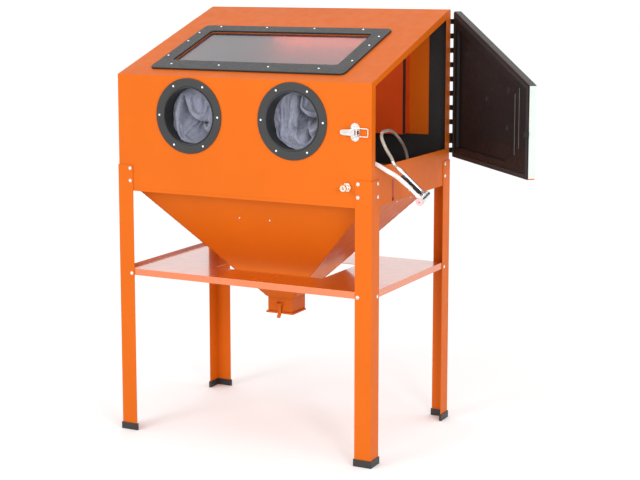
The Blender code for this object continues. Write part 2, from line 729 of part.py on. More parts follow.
def make_latch(steel):
    """A toggle latch with a vertical pin: base on the panel, lever that swings out, bail on the lever."""
    px, py = LEVER_PIN
    bx, by = BAIL_PIN
    face = -BODY_Y - GAP
    top = 0.029
    outline = rounded((0.4050, 0.4360), (LATCH_Z - top, LATCH_Z + top), 0.0150, 5)
    base = piece("latch_base", prism(outline, "Y", face - SHEET, face), steel)
    cheek = [
        (px - 0.0038, face - 0.0010),
        (px - 0.0038, py - 0.0015),
        (px - 0.0018, py - 0.0038),
        (px + 0.0018, py - 0.0038),
        (px + 0.0038, py - 0.0015),
        (px + 0.0038, face - 0.0010),
    ]
    join(base, *[prism(cheek, "Z", *about(LATCH_Z + s * 0.0066, 0.0010)) for s in (-1, 1)])
    cut(base, rod((px, py, LATCH_Z - 0.03), (px, py, LATCH_Z + 0.03), PIN_RADIUS + GAP, FLAT))
    pin = rod((px, py, LATCH_Z - 0.0107), (px, py, LATCH_Z + 0.0107), PIN_RADIUS, FLAT)
    piece("latch_lever_pin", pin, steel, smooth=40)

    add_group("latch_lever_axis", (px, py, LATCH_Z), "cabinet_frame")
    group = "latch_lever_axis"
    plate = [
        (px - 0.0040, LATCH_Z - 0.0105),
        (px - 0.0040, LATCH_Z + 0.0105),
        (0.3860, LATCH_Z + 0.0085),
        (0.3775, LATCH_Z + 0.0060),
        (0.3755, LATCH_Z),
        (0.3775, LATCH_Z - 0.0060),
        (0.3860, LATCH_Z - 0.0085),
    ]
    lever = piece("latch_lever", prism(plate, "Y", py - 0.0060, py - 0.0044), steel, group)
    ear = [
        (px + 0.0055, py - 0.0045),
        (px + 0.0055, py + 0.0030),
        (bx + 0.0020, by + 0.0030),
        (bx - 0.0040, by + 0.0010),
        (bx - 0.0050, py - 0.0045),
    ]
    ears = [prism(ear, "Z", LATCH_Z + s * 0.0090 - 0.0008, LATCH_Z + s * 0.0090 + 0.0008) for s in (-1, 1)]
    join(lever, *ears, group=group)
    bores = [
        rod((px, py, LATCH_Z - 0.03), (px, py, LATCH_Z + 0.03), PIN_RADIUS + GAP, FLAT),
        rod((bx, by, LATCH_Z - 0.03), (bx, by, LATCH_Z + 0.03), 1.5 * MM + GAP, FLAT),
    ]
    cut(lever, *bores, group=group)

    add_group("latch_bail_axis", (bx, by, LATCH_Z), "latch_lever_axis")
    half = 0.0128
    corner = 0.0030
    path = []
    for x, z, quarter in ((BAIL_REACH, half, 0), (bx, half, 1), (bx, -half, 2), (BAIL_REACH, -half, 3)):
        sx = -1 if quarter in (0, 3) else 1
        sz = -1 if quarter in (0, 1) else 1
        for k in range(4):
            angle = math.pi / 2 * (quarter + k / 3)
            path.append(
                (
                    x + sx * corner + corner * math.cos(angle),
                    by,
                    LATCH_Z + z + sz * corner + corner * math.sin(angle),
                )
            )
    piece("latch_bail", wire_loop(path, 1.5 * MM, 8), steel, "latch_bail_axis", smooth=50)


def wire_loop(path, radius, sides):
    """A closed round wire that follows a flat loop in an XZ plane."""
    count = len(path)
    loops = []
    for k in range(count):
        point = Vector(path[k])
        along = (Vector(path[(k + 1) % count]) - Vector(path[k - 1])).normalized()
        side = along.cross(Vector((0, 1, 0)))
        ring = []
        for j in range(sides):
            angle = 2 * math.pi * j / sides
            ring.append(point + radius * (math.cos(angle) * side + math.sin(angle) * Vector((0, 1, 0))))
        loops.append(ring)
    return loft(loops, ring=True)


# ---------------------------------------------------------------- door and hinge


def door_outline(inset=0.0):
    """The door's edge, Y and Z, or the same moved inward."""
    corners = [
        (DOOR_Y[0], DOOR_BOTTOM),
        (DOOR_Y[1], DOOR_BOTTOM),
        (DOOR_Y[1], DOOR_TOP_REAR),
        (DOOR_Y[0], DOOR_TOP_FRONT),
    ]
    if not inset:
        return corners
    moved = offset_line(corners + corners[:2], inset)
    return moved[1:5]


def make_door(paint, black, rubber, trim_rubber, steel):
    add_group("door_axis", (HINGE_X, HINGE_Y, 0.0), "cabinet_frame", Matrix.Rotation(DOOR_OPEN, 3, "Z"))
    group = "door_axis"
    x_in, x_out = DOOR_X

    shell = piece("door_shell", prism(door_outline(), "X", x_in + 2.3 * MM, x_out), paint, group)
    cut(shell, prism(door_outline(SHEET), "X", x_in, x_out - SHEET), group=group)

    liner = piece("door_liner", prism(door_outline(), "X", x_in, x_in + 2.0 * MM), black, group)
    pan = 9.0 * MM
    top_slope = (DOOR_TOP_REAR - DOOR_TOP_FRONT) / (DOOR_Y[1] - DOOR_Y[0])

    def pan_outline(grow):
        front, rear = DOOR_Y[0] + 0.087 - grow, DOOR_Y[1] - 0.036 + grow
        low = DOOR_BOTTOM + 0.037 - grow
        corner = 0.056
        under = 0.048 - grow
        top = [DOOR_TOP_FRONT + top_slope * (y - DOOR_Y[0]) - under for y in (front, rear)]
        return [
            (front, low + corner),
            (front + 0.012, low + corner * 0.62),
            (front + corner * 1.3, low + corner * 0.22),
            (front + corner * 1.6, low),
            (rear, low),
            (rear, top[1]),
            (front, top[0]),
        ]

    join(liner, prism(pan_outline(2.0 * MM), "X", x_in + 1.0 * MM, x_in + pan + 2.0 * MM), group=group)
    cut(liner, prism(pan_outline(0.0), "X", x_in - 0.01, x_in + pan), group=group)

    seal = piece("door_seal", prism(door_outline(3.5 * MM), "X", x_in - 2.5 * MM, x_in - GAP), rubber, group)
    cut(seal, prism(door_outline(15.0 * MM), "X", x_in - 0.02, x_in + 0.02), group=group)

    slope = (DOOR_Y[1] - DOOR_Y[0], DOOR_TOP_REAR - DOOR_TOP_FRONT)
    edge = [
        (DOOR_Y[1] - 0.004, DOOR_TOP_REAR - 0.004 * slope[1] / slope[0]),
        (DOOR_Y[0], DOOR_TOP_FRONT),
        (DOOR_Y[0], DOOR_BOTTOM + 0.004),
    ]
    trim = offset_line(edge, -GAP) + offset_line(edge, -GAP - 1.6 * MM)[::-1]
    piece("door_edge_trim", prism(trim, "X", x_in + 2.3 * MM, x_out - 0.5 * MM), trim_rubber, group)

    hook = [
        (DOOR_Y[0] + 0.0008, x_in - 2.4 * MM),
        (DOOR_Y[0] + 0.0008, x_in - 0.4 * MM),
        (-0.3232, x_in - 0.4 * MM),
        (-0.3232, 0.4605),
        (-0.3292, 0.4605),
        (-0.3292, 0.4585),
        (-0.3212, 0.4585),
        (-0.3212, x_in - 2.4 * MM),
    ]
    keeper = prism([(x, y) for y, x in hook], "Z", *about(LATCH_Z, 0.0080))
    piece("latch_keeper", keeper, steel, group)


def finger_levels():
    """Middle and half height of each door finger. The ninth is a double one."""
    for k in range(FINGER_COUNT):
        tall = 0.018 if k == 8 else 0.009
        drop = 0.0075 if k == 8 else 0.0
        yield FINGER_TOP - FINGER_PITCH * k - drop, tall


def knuckle_circle(segments=16):
    points = []
    for k in range(segments):
        angle = 2 * math.pi * k / segments
        x = HINGE_X + KNUCKLE_RADIUS * math.cos(angle)
        points.append((x, HINGE_Y + KNUCKLE_RADIUS * math.sin(angle)))
    return points


def make_hinge(black, steel):
    """A long pin behind the cabinet's corner, a leaf on the rear panel and a leaf on the door."""
    low, high = HINGE_Z
    bore = PIN_RADIUS + GAP
    through = ((HINGE_X, HINGE_Y, low - 0.02), (HINGE_X, HINGE_Y, high + 0.02))
    levels = list(finger_levels())
    clear = 0.0004

    curl = HINGE_Y + KNUCKLE_RADIUS
    door_face = DOOR_Y[1] + GAP
    outline = [
        (DOOR_X[1] - 0.002, door_face),
        (DOOR_X[1] - 0.002, door_face + SHEET),
        (0.4845, door_face + SHEET),
        (0.4845, curl),
        (HINGE_X, curl),
        (HINGE_X, curl - SHEET),
        (0.4825, curl - SHEET),
        (0.4825, door_face),
    ]
    leaf = piece("hinge_door_leaf", prism(outline, "Z", low, high), black, "door_axis")
    join(leaf, prism(knuckle_circle(), "Z", low, high), group="door_axis")
    edges = [high + 0.02]
    for middle, half in levels:
        edges += [middle + half, middle - half]
    edges.append(low - 0.02)
    windows = [
        box((0.4640, 0.4900), (door_face + SHEET + 0.0005, HINGE_Y + 0.010), (bottom, top))
        for top, bottom in zip(edges[0::2], edges[1::2])
    ]
    cut(leaf, *windows, group="door_axis")
    cut(leaf, rod(*through, bore, FLAT), group="door_axis")

    back = BODY_Y + GAP
    outline = [
        (0.4250, back),
        (HINGE_X - 0.0010, back),
        (HINGE_X + 0.0010, HINGE_Y - KNUCKLE_RADIUS + 0.0006),
        (HINGE_X, HINGE_Y),
        (HINGE_X - KNUCKLE_RADIUS, HINGE_Y),
        (HINGE_X - KNUCKLE_RADIUS, back + SHEET),
        (0.4250, back + SHEET),
    ]
    leaf = piece("hinge_frame_leaf", prism(outline, "Z", low, high), black)
    join(leaf, prism(knuckle_circle(), "Z", low, high))
    windows = [
        box((HINGE_X - 0.0065, 0.4800), (back - 0.001, HINGE_Y + 0.010), (m - h - clear, m + h + clear))
        for m, h in levels
    ]
    cut(leaf, *windows)
    cut(leaf, rod(*through, bore, FLAT))
    pin = rod((HINGE_X, HINGE_Y, low), (HINGE_X, HINGE_Y, high), PIN_RADIUS, FLAT)
    piece("hinge_pin", pin, steel, smooth=40)


# ---------------------------------------------------------------- blast gun and hoses

def gun_frame():
    """From the gun's own frame (nozzle along +X, handle along +Z, head at 0) to the cabinet's frame."""
    up = (GUN_AIR_END - GUN_HEAD).normalized()
    front = (GUN_NOZZLE_TOWARDS - GUN_NOZZLE_TOWARDS.dot(up) * up).normalized()
    side = up.cross(front)
    turn = Matrix((front, side, up)).transposed().to_4x4()
    return Matrix.Translation(GUN_HEAD) @ turn


def in_gun(mesh):
    bmesh.ops.transform(mesh, matrix=gun_frame(), verts=mesh.verts)
    return mesh


def gun_point(x, y, z):
    return gun_frame() @ Vector((x, y, z))


def along_nozzle(profile, segments=20, ring=False):
    return in_gun(turned(profile, (0, 0, 0), (1, 0, 0), segments, ring))


def along_handle(profile, x=0.0, segments=20):
    return in_gun(turned(profile, (x, 0, 0), (0, 0, 1), segments))


def make_gun(aluminium, dark, ceramic, brass, steel):
    """Head with its suction stub, handle, air fitting, ceramic nozzle in its nut, and the trigger lever."""
    tail, front = HEAD_X
    head_profile = [(0.0080, tail), (HEAD_RADIUS, tail + 0.003)]
    head_profile += [(HEAD_RADIUS, front - 0.002), (0.0100, front)]
    body = piece("gun_body", along_nozzle(head_profile), aluminium, smooth=40)
    join(body, along_handle([(0.0085, 0.0), (0.0085, 0.022), (0.0070, 0.024), (0.0070, STUB_TOP)], STUB_X))
    tx, tz = TRIGGER_PIN
    lugs = [in_gun(box(about(tx, 0.0040), about(s * 0.0095, 0.0011), (0.0040, tz + 0.0035))) for s in (-1, 1)]
    join(body, *lugs)
    cut(body, in_gun(rod((tx, -0.0130, tz), (tx, 0.0130, tz), TRIGGER_BORE, FLAT)))

    handle_profile = [
        (0.0060, 0.0060),
        (HANDLE_RADIUS, 0.0200),
        (HANDLE_RADIUS, HANDLE_TOP - 0.010),
        (HANDLE_RADIUS + 0.001, HANDLE_TOP - 0.009),
        (HANDLE_RADIUS + 0.001, HANDLE_TOP),
    ]
    handle = piece("gun_handle", along_handle(handle_profile), aluminium, smooth=40)
    cut(handle, along_nozzle([(HEAD_RADIUS + GAP, tail - 0.01), (HEAD_RADIUS + GAP, front + 0.01)]))
    base = HANDLE_TOP + GAP
    top = (GUN_AIR_END - GUN_HEAD).length
    fitting = [(0.0068, base), (0.0068, base + 0.006), (0.0050, base + 0.007), (0.0050, top)]
    piece("gun_air_fitting", along_handle(fitting, segments=16), brass, smooth=40)

    nut_x = front + GAP
    nut = piece("nozzle_nut", along_nozzle([(0.0145, nut_x), (0.0145, nut_x + 0.0060)], 6), steel)
    cut(nut, along_nozzle([(0.0095 + GAP, 0.0), (0.0095 + GAP, 0.1)]))
    nozzle_profile = [
        (0.0030, nut_x),
        (0.0095, nut_x),
        (0.0095, nut_x + 0.0063),
        (0.0125, nut_x + 0.0063),
        (0.0125, nut_x + 0.0090),
        (0.0110, nut_x + 0.0105),
        (0.0038, nut_x + 0.0105),
        (0.0030, nut_x + 0.0095),
    ]
    piece("nozzle", along_nozzle(nozzle_profile, ring=True), ceramic, smooth=40)
    make_trigger(dark, steel)


def make_trigger(dark, steel):
    """A long lever in front of the handle, on a pin between the head's two lugs."""
    group = "trigger_axis"
    tx, tz = TRIGGER_PIN
    add_group(group, gun_point(tx, 0, tz), "cabinet_frame")
    blade = [
        (tx - 0.0030, tz - 0.0010),
        (tx + 0.0030, tz - 0.0010),
        (tx + 0.0025, tz + 0.0150),
        (tx + 0.0040, tz + 0.0450),
        (tx + 0.0065, tz + 0.0800),
        (tx + 0.0045, tz + 0.0805),
        (tx + 0.0015, tz + 0.0450),
        (tx - 0.0010, tz + 0.0150),
    ]
    lever = piece("trigger_lever", in_gun(prism(blade, "Y", -0.0065, 0.0065)), dark, group)
    join(lever, in_gun(rod((tx, -0.0078, tz), (tx, 0.0078, tz), 0.0032, FLAT)), group=group)
    cut(lever, in_gun(rod((tx, -0.0130, tz), (tx, 0.0130, tz), TRIGGER_BORE, FLAT)), group=group)
    piece("trigger_pin", in_gun(rod((tx, -0.0115, tz), (tx, 0.0115, tz), 1.5 * MM, FLAT)), steel, smooth=40)


def air_hose_route():
    """From the gun's handle up in a loop, in over the sill, down to the grate and on to the inlet's tail."""
    up = (GUN_AIR_END - GUN_HEAD).normalized()
    tail = Vector((INLET_X, -BODY_Y + 0.038, INLET_Z))
    return [
        GUN_AIR_END + up * GAP,
        GUN_AIR_END + up * 0.012,
        Vector((0.520, -0.264, 1.006)),
        Vector((0.514, -0.290, 1.036)),
        Vector((0.503, -0.293, 1.061)),
        Vector((0.493, -0.281, 1.076)),
        Vector((0.488, -0.257, 1.085)),
        Vector((0.481, -0.209, 1.085)),
        Vector((0.458, -0.135, 1.076)),
        Vector((0.435, -0.056, 1.060)),
        Vector((0.423, 0.014, 1.032)),
        Vector((0.410, 0.080, 1.000)),
        Vector((0.407, 0.1065, 0.975)),
        Vector((0.409, 0.113, 0.9445)),
        Vector((0.408, 0.101, 0.918)),
        Vector((0.407, 0.071, 0.9062)),
        Vector((0.405, 0.000, 0.9060)),
        Vector((0.401, -0.090, 0.9066)),
        Vector((0.3965, -0.180, 0.909)),
        tail + Vector((0, 0.030, 0)),
        tail + Vector((0, GAP, 0)),
    ]


def suction_hose_route():
    """From the gun's stub over the sill's front end, through the grate's open corner to the hopper's foot."""
    stub = gun_point(STUB_X, 0, STUB_TOP)
    up = (GUN_AIR_END - GUN_HEAD).normalized()
    return [
        stub + up * GAP,
        stub + up * 0.014,
        Vector((0.5435, -0.2705, 0.947)),
        Vector((0.510, -0.280, 0.967)),
        Vector((0.477, -0.2825, 0.984)),
        Vector((0.446, -0.285, 0.9925)),
        Vector((0.414, -0.284, 0.987)),
        Vector((0.387, -0.277, 0.967)),
        Vector((0.369, -0.264, 0.935)),
        Vector((0.354, -0.240, 0.893)),
        Vector((0.325, -0.200, 0.835)),
        Vector((0.275, -0.153, 0.772)),
        Vector((0.210, -0.108, 0.702)),
        Vector((0.140, -0.068, 0.630)),
        Vector((0.070, -0.030, 0.553)),
        Vector((0.028, -0.010, 0.490)),
    ]


def make_hoses(air_rubber, clear_vinyl):
    air = smooth_route(air_hose_route(), 2.4 * AIR_HOSE_DIAMETER)
    tube_along("air_hose", air, AIR_HOSE_DIAMETER, air_rubber, 2)
    suction = smooth_route(suction_hose_route(), 2.2 * SUCTION_HOSE_DIAMETER)
    tube_along("suction_hose", suction, SUCTION_HOSE_DIAMETER, clear_vinyl, 2)


def build():
    clear_scene()
    add_group("cabinet_frame", (0, 0, 0))

    orange = material("orange_powder_coat", (0.807, 0.178, 0.018), 0.35)
    black_plastic = material("black_plastic", (0.012, 0.013, 0.014), 0.45)
    black_coat = material("black_coat", (0.010, 0.010, 0.011), 0.30)
    rubber = material("black_rubber", (0.014, 0.014, 0.014), 0.75)
    trim_rubber = material("pale_trim", (0.62, 0.68, 0.66), 0.40)
    zinc = material("zinc_plated_steel", (0.74, 0.75, 0.76), 0.28, 1.0)
    grate_steel = material("bare_steel", (0.30, 0.30, 0.31), 0.50, 1.0)
    aluminium = material("aluminium", (0.80, 0.81, 0.82), 0.30, 1.0)
    brass = material("brass", (0.72, 0.55, 0.27), 0.30, 1.0)
    glass = material("tinted_glass", (0.10, 0.09, 0.10), 0.05, 0.0, 0.5)
    lens = material("lamp_lens", (0.90, 0.92, 0.90), 0.20)
    fabric = material("glove_fabric", (0.32, 0.36, 0.40), 0.90)
    ceramic = material("pink_ceramic", (0.85, 0.48, 0.46), 0.40)
    vinyl = material("clear_vinyl", (0.85, 0.86, 0.85), 0.25)
    hose_rubber = material("grey_hose", (0.50, 0.47, 0.43), 0.45)

    make_front_top_panel(orange)
    make_side_panels(orange)
    make_rear_panel(orange)
    make_legs(orange, black_plastic)
    make_hopper(orange)
    make_outlet(orange, zinc)
    make_trap_door(orange)
    make_trap_catch(orange)
    make_shelf(orange)
    make_window(black_plastic, rubber, glass, zinc)
    make_arm_ports(black_plastic, fabric)
    make_grate(grate_steel)
    make_exhaust(orange, black_plastic)
    make_rear_liner(rubber)
    make_lamp(aluminium, lens)
    make_air_inlet(brass, zinc)
    make_latch(zinc)
    make_door(orange, black_coat, rubber, trim_rubber, black_coat)
    make_hinge(black_coat, zinc)
    make_gun(aluminium, black_plastic, ceramic, brass, zinc)
    make_hoses(hose_rubber, vinyl)
    GROUPS["cabinet_frame"]["empty"].location = FRAME_SHIFT


build()
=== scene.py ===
"""The looks of the sandblast cabinet: camera, hoses, gloves, screws, and the material of every surface.

Places are in the cabinet's own axes, in metres: x to the right, y to the back, z up from the
floor, and 0 midway between the legs. at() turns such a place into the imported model's frame.
"""

import math

import bmesh
import bpy
from mathutils import Matrix, Vector, noise


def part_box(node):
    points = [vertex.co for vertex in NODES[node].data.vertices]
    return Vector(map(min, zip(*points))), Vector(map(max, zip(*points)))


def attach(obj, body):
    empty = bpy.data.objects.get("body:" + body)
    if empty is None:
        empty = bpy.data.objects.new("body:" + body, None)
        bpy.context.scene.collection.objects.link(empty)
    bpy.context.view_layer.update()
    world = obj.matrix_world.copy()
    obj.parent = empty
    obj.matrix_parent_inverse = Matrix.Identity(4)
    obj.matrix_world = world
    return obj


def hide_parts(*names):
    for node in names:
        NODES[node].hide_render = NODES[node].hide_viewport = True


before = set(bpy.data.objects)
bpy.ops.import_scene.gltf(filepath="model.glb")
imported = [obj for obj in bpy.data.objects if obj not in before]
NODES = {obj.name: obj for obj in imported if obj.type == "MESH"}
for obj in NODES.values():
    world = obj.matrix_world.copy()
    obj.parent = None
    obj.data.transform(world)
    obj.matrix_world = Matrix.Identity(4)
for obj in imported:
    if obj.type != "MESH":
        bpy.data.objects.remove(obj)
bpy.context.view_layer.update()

MM = 0.001
LEGS_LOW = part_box("leg_front_left")[0]
LEGS_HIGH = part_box("leg_rear_right")[1]
CENTRE = Vector(((LEGS_LOW.x + LEGS_HIGH.x) / 2, (LEGS_LOW.y + LEGS_HIGH.y) / 2, 0.0))

LEG_X = (LEGS_HIGH.x - LEGS_LOW.x) / 2
LEG_Y = (LEGS_HIGH.y - LEGS_LOW.y) / 2
LEG_STANDS_OUT = 2.8 * MM
BODY_X = LEG_X - LEG_STANDS_OUT
BODY_Y = LEG_Y - LEG_STANDS_OUT
BODY_BOTTOM = 0.845
FOLD_Z = 1.2425
SLOPE_RUN = Vector((0, 0.6232, 0.2145)).normalized()
PORT_X = 0.195
PORT_Z = 1.111
HOPPER_SLOPE = (1.0046, 0.58)
HOPPER_FOOT_Z = 0.4602
HOPPER_FOOT_HALF = 0.0477
DOOR_OPEN = math.radians(44.1)
HINGE = Vector((0.4695, 0.3262, 0.0))


def at(x, y, z):
    return CENTRE + Vector((x, y, z))


# ---------------------------------------------------------------- camera


CAMERA_PLACE = (2.4721, -4.5504, 1.5885)
CAMERA_DOWN = math.radians(8.0)
CAMERA_TURN = math.radians(27.22)
LENS_MM = 84.6
SENSOR_MM = 36.0
LENS_SHIFT = -0.09


def make_camera():
    data = bpy.data.cameras.new("camera")
    data.lens = LENS_MM
    data.sensor_width = SENSOR_MM
    data.shift_y = LENS_SHIFT
    data.clip_end = 100.0
    camera = bpy.data.objects.new("camera", data)
    camera.location = at(*CAMERA_PLACE)
    camera.rotation_euler = (math.pi / 2 - CAMERA_DOWN, 0.0, CAMERA_TURN)
    bpy.context.scene.collection.objects.link(camera)
    bpy.context.scene.camera = camera


# ---------------------------------------------------------------- materials


def link(tree, output, socket):
    tree.links.new(output, socket)


def noise_in(tree, scale, detail=2.0, stretch=(1.0, 1.0, 1.0), rough=0.5):
    """A noise's factor, laid in the object's own space."""
    where = tree.nodes.new("ShaderNodeTexCoord")
    mapping = tree.nodes.new("ShaderNodeMapping")
    mapping.inputs["Scale"].default_value = stretch
    texture = tree.nodes.new("ShaderNodeTexNoise")
    texture.inputs["Scale"].default_value = scale
    texture.inputs["Detail"].default_value = detail
    texture.inputs["Roughness"].default_value = rough
    link(tree, where.outputs["Object"], mapping.inputs["Vector"])
    link(tree, mapping.outputs["Vector"], texture.inputs["Vector"])
    return texture.outputs["Fac"]


def ranged(tree, value, low, high, start=0.3, end=0.7):
    """The noise's middle range spread over low to high."""
    spread = tree.nodes.new("ShaderNodeMapRange")
    for name, number in (("From Min", start), ("From Max", end), ("To Min", low), ("To Max", high)):
        spread.inputs[name].default_value = number
    link(tree, value, spread.inputs["Value"])
    return spread.outputs["Result"]


def mixed(tree, factor, first, second):
    """A colour between two, each a colour or another node's output."""
    mix = tree.nodes.new("ShaderNodeMix")
    mix.data_type = "RGBA"
    link(tree, factor, mix.inputs["Factor"])
    for socket, colour in ((mix.inputs[6], first), (mix.inputs[7], second)):
        if isinstance(colour, bpy.types.NodeSocket):
            link(tree, colour, socket)
        else:
            socket.default_value = (*colour, 1.0)
    return mix.outputs[2]


def scaled(colour, share):
    return tuple(min(1.0, part * share) for part in colour)


def surface(
    name, colour, roughness, metallic=0.0, mottle=(7.0, 0.06), polish=0.06, grain=(700.0, 0.02), **more
):
    """A Principled surface. Its colour drifts by mottle (scale, share), its gloss by polish, and
    grain is (scale, height in mm). above = (z, colour) gives it another colour above a height."""
    stretch = more.pop("stretch", (1.0, 1.0, 1.0))
    above = more.pop("above", None)
    made = bpy.data.materials.new(name)
    made.use_nodes = True
    tree = made.node_tree
    shader = tree.nodes["Principled BSDF"]
    shader.inputs["Metallic"].default_value = metallic
    for socket, value in more.items():
        shader.inputs[socket.replace("_", " ")].default_value = value
    drift = ranged(tree, noise_in(tree, mottle[0], 4.0), 0.0, 1.0)
    base = mixed(tree, drift, scaled(colour, 1 - mottle[1]), scaled(colour, 1 + mottle[1]))
    if above:
        where = tree.nodes.new("ShaderNodeTexCoord")
        parts = tree.nodes.new("ShaderNodeSeparateXYZ")
        link(tree, where.outputs["Object"], parts.inputs["Vector"])
        higher = ranged(tree, parts.outputs["Z"], 0.0, 1.0, above[0], above[0] + 0.5 * MM)
        base = mixed(tree, higher, base, above[1])
    link(tree, base, shader.inputs["Base Color"])
    gloss = noise_in(tree, mottle[0] * 5, 4.0, stretch)
    link(tree, ranged(tree, gloss, roughness - polish, roughness + polish), shader.inputs["Roughness"])
    bump = tree.nodes.new("ShaderNodeBump")
    bump.inputs["Strength"].default_value = 0.6
    bump.inputs["Distance"].default_value = grain[1] * MM
    link(tree, noise_in(tree, grain[0], 2.0, stretch), bump.inputs["Height"])
    link(tree, bump.outputs["Normal"], shader.inputs["Normal"])
    return made


def woven(name, light, dark, roughness):
    """Denim-like cloth: threads both ways, faded patches and a soft sheen."""
    made = bpy.data.materials.new(name)
    made.use_nodes = True
    tree = made.node_tree
    shader = tree.nodes["Principled BSDF"]
    shader.inputs["Roughness"].default_value = roughness
    shader.inputs["Sheen Weight"].default_value = 0.25
    shader.inputs["Sheen Roughness"].default_value = 0.5
    warp = noise_in(tree, 650.0, 2.0, (1.0, 1.0, 0.12), 0.6)
    weft = noise_in(tree, 650.0, 2.0, (0.12, 0.12, 1.0), 0.6)
    threads = mixed(tree, ranged(tree, warp, 0.0, 1.0, 0.35, 0.65), dark, light)
    crossed = mixed(tree, ranged(tree, weft, 0.0, 0.5, 0.35, 0.65), threads, light)
    faded = mixed(tree, ranged(tree, noise_in(tree, 26.0, 5.0), 0.0, 0.5), crossed, scaled(light, 1.25))
    link(tree, faded, shader.inputs["Base Color"])
    crinkle = tree.nodes.new("ShaderNodeBump")
    crinkle.inputs["Strength"].default_value = 0.7
    crinkle.inputs["Distance"].default_value = 2.5 * MM
    link(tree, noise_in(tree, 60.0, 6.0, (1.0, 1.0, 1.0), 0.6), crinkle.inputs["Height"])
    weave = tree.nodes.new("ShaderNodeBump")
    weave.inputs["Strength"].default_value = 0.8
    weave.inputs["Distance"].default_value = 0.3 * MM
    link(tree, warp, weave.inputs["Height"])
    link(tree, crinkle.outputs["Normal"], weave.inputs["Normal"])
    link(tree, weave.outputs["Normal"], shader.inputs["Normal"])
    return made


ORANGE = (0.56, 0.108, 0.0045)
# Height of the door trim's top corner: below it, the trim's pale tone is partly a painted highlight.
TRIM_HIGHLIGHT_TOP_Z = 1.2362


def make_materials():
    """One material for each slot of the record, and a few more for the pieces made here."""
    return {
        "orange_powder_coat": surface(
            "orange_coat", ORANGE, 0.42, mottle=(5.0, 0.03), grain=(420.0, 0.03), Specular_IOR_Level=0.12
        ),
        # Painted shade: a darker, redder copy of the orange coat, for the baffle that stands in the shade
        # inside the cabinet.
        "orange_painted_shade": surface(
            "orange_painted_shade", (0.60, 0.060, 0.006), 0.5, mottle=(9.0, 0.08), grain=(420.0, 0.04),
            Specular_IOR_Level=0.15,
        ),
        "orange_gloss": surface(
            "orange_gloss", (0.60, 0.115, 0.006), 0.3, mottle=(5.0, 0.03), polish=0.03, grain=(300.0, 0.01),
            Coat_Weight=1.0, Coat_Roughness=0.10, Coat_IOR=1.7,
        ),
        "black_coat": surface(
            "black_coat", (0.0085, 0.0078, 0.0078), 0.55, mottle=(12.0, 0.18), grain=(650.0, 0.06),
            Specular_IOR_Level=0.25,
        ),
        "black_plastic": surface(
            "black_plastic", (0.017, 0.017, 0.017), 0.46, mottle=(15.0, 0.12), grain=(900.0, 0.07)
        ),
        "black_rubber": surface(
            "black_rubber", (0.012, 0.011, 0.011), 0.68, mottle=(14.0, 0.2), grain=(500.0, 0.1)
        ),
        # A light trim. Its pale tone on the vertical free edge is partly a painted highlight, where that
        # edge faces the side light. On the slanted top edge above the corner, it is black.
        "pale_trim": surface(
            "pale_trim", (0.50, 0.55, 0.52), 0.42, mottle=(30.0, 0.04), grain=(500.0, 0.05),
            above=(TRIM_HIGHLIGHT_TOP_Z, (0.016, 0.017, 0.016)),
        ),
        # Painted highlight: a light grey for the moulded beads of the black door lining, where light catches
        # them.
        "bead_painted_highlight": surface(
            "bead_painted_highlight", (0.085, 0.088, 0.084), 0.4, mottle=(60.0, 0.15), grain=(500.0, 0.05)
        ),
        "zinc_plated_steel": surface(
            "zinc_plated_steel", (0.78, 0.77, 0.75), 0.22, 1.0, mottle=(60.0, 0.14), polish=0.1,
            grain=(500.0, 0.03),
        ),
        "bare_steel": surface(
            "bare_steel", (0.46, 0.45, 0.44), 0.34, 1.0, mottle=(40.0, 0.15), polish=0.1,
            grain=(300.0, 0.05),
        ),
        "aluminium": surface(
            "aluminium", (0.80, 0.81, 0.82), 0.27, 1.0, mottle=(80.0, 0.1), polish=0.08,
            grain=(700.0, 0.03),
        ),
        "brass": surface(
            "brass", (0.80, 0.70, 0.60), 0.28, 1.0, mottle=(90.0, 0.12), polish=0.08, grain=(700.0, 0.02)
        ),
        "tinted_glass": surface(
            "tinted_glass", (0.070, 0.062, 0.078), 0.08, mottle=(4.0, 0.25), polish=0.03, grain=(60.0, 0.02),
            Alpha=0.62, Coat_Weight=1.0, Coat_Roughness=0.04,
        ),
        "lamp_lens": surface(
            "lamp_lens", (0.86, 0.87, 0.85), 0.3, mottle=(80.0, 0.04), grain=(160.0, 0.3),
            Emission_Strength=0.25, Emission_Color=(1.0, 0.97, 0.9, 1.0),
        ),
        "glove_fabric": woven("glove_fabric", (0.225, 0.235, 0.30), (0.045, 0.048, 0.068), 0.85),
        "glove_rubber": surface(
            "glove_rubber", (0.03, 0.03, 0.035), 0.6, mottle=(40.0, 0.25), grain=(300.0, 0.3)
        ),
        "pink_ceramic": surface(
            "pink_ceramic", (0.78, 0.42, 0.42), 0.36, mottle=(160.0, 0.08), grain=(900.0, 0.03)
        ),
        "grey_hose": surface(
            "grey_hose", (0.30, 0.255, 0.21), 0.33, mottle=(50.0, 0.12), grain=(300.0, 0.08),
            Coat_Weight=0.4, Coat_Roughness=0.2,
        ),
        "clear_vinyl": surface(
            "clear_vinyl", (0.86, 0.80, 0.79), 0.2, mottle=(35.0, 0.08), grain=(120.0, 0.12), Alpha=0.82,
            Coat_Weight=0.8, Coat_Roughness=0.08, Transmission_Weight=0.25,
        ),
        "white_screw": surface(
            "white_screw", (0.86, 0.86, 0.84), 0.35, mottle=(200.0, 0.1), grain=(900.0, 0.03)
        ),
        # Painted shade: a darker orange for the dark strip down the right sill.
        "sill_strip_painted_shade": surface(
            "sill_strip_painted_shade", (0.36, 0.022, 0.004), 0.55, mottle=(60.0, 0.2), grain=(400.0, 0.05)
        ),
        # Painted shade: near-black, for the inside of holes and dimples, where shade falls.
        "hole": surface("hole", (0.008, 0.006, 0.006), 0.7, mottle=(90.0, 0.3), grain=(400.0, 0.05)),
    }


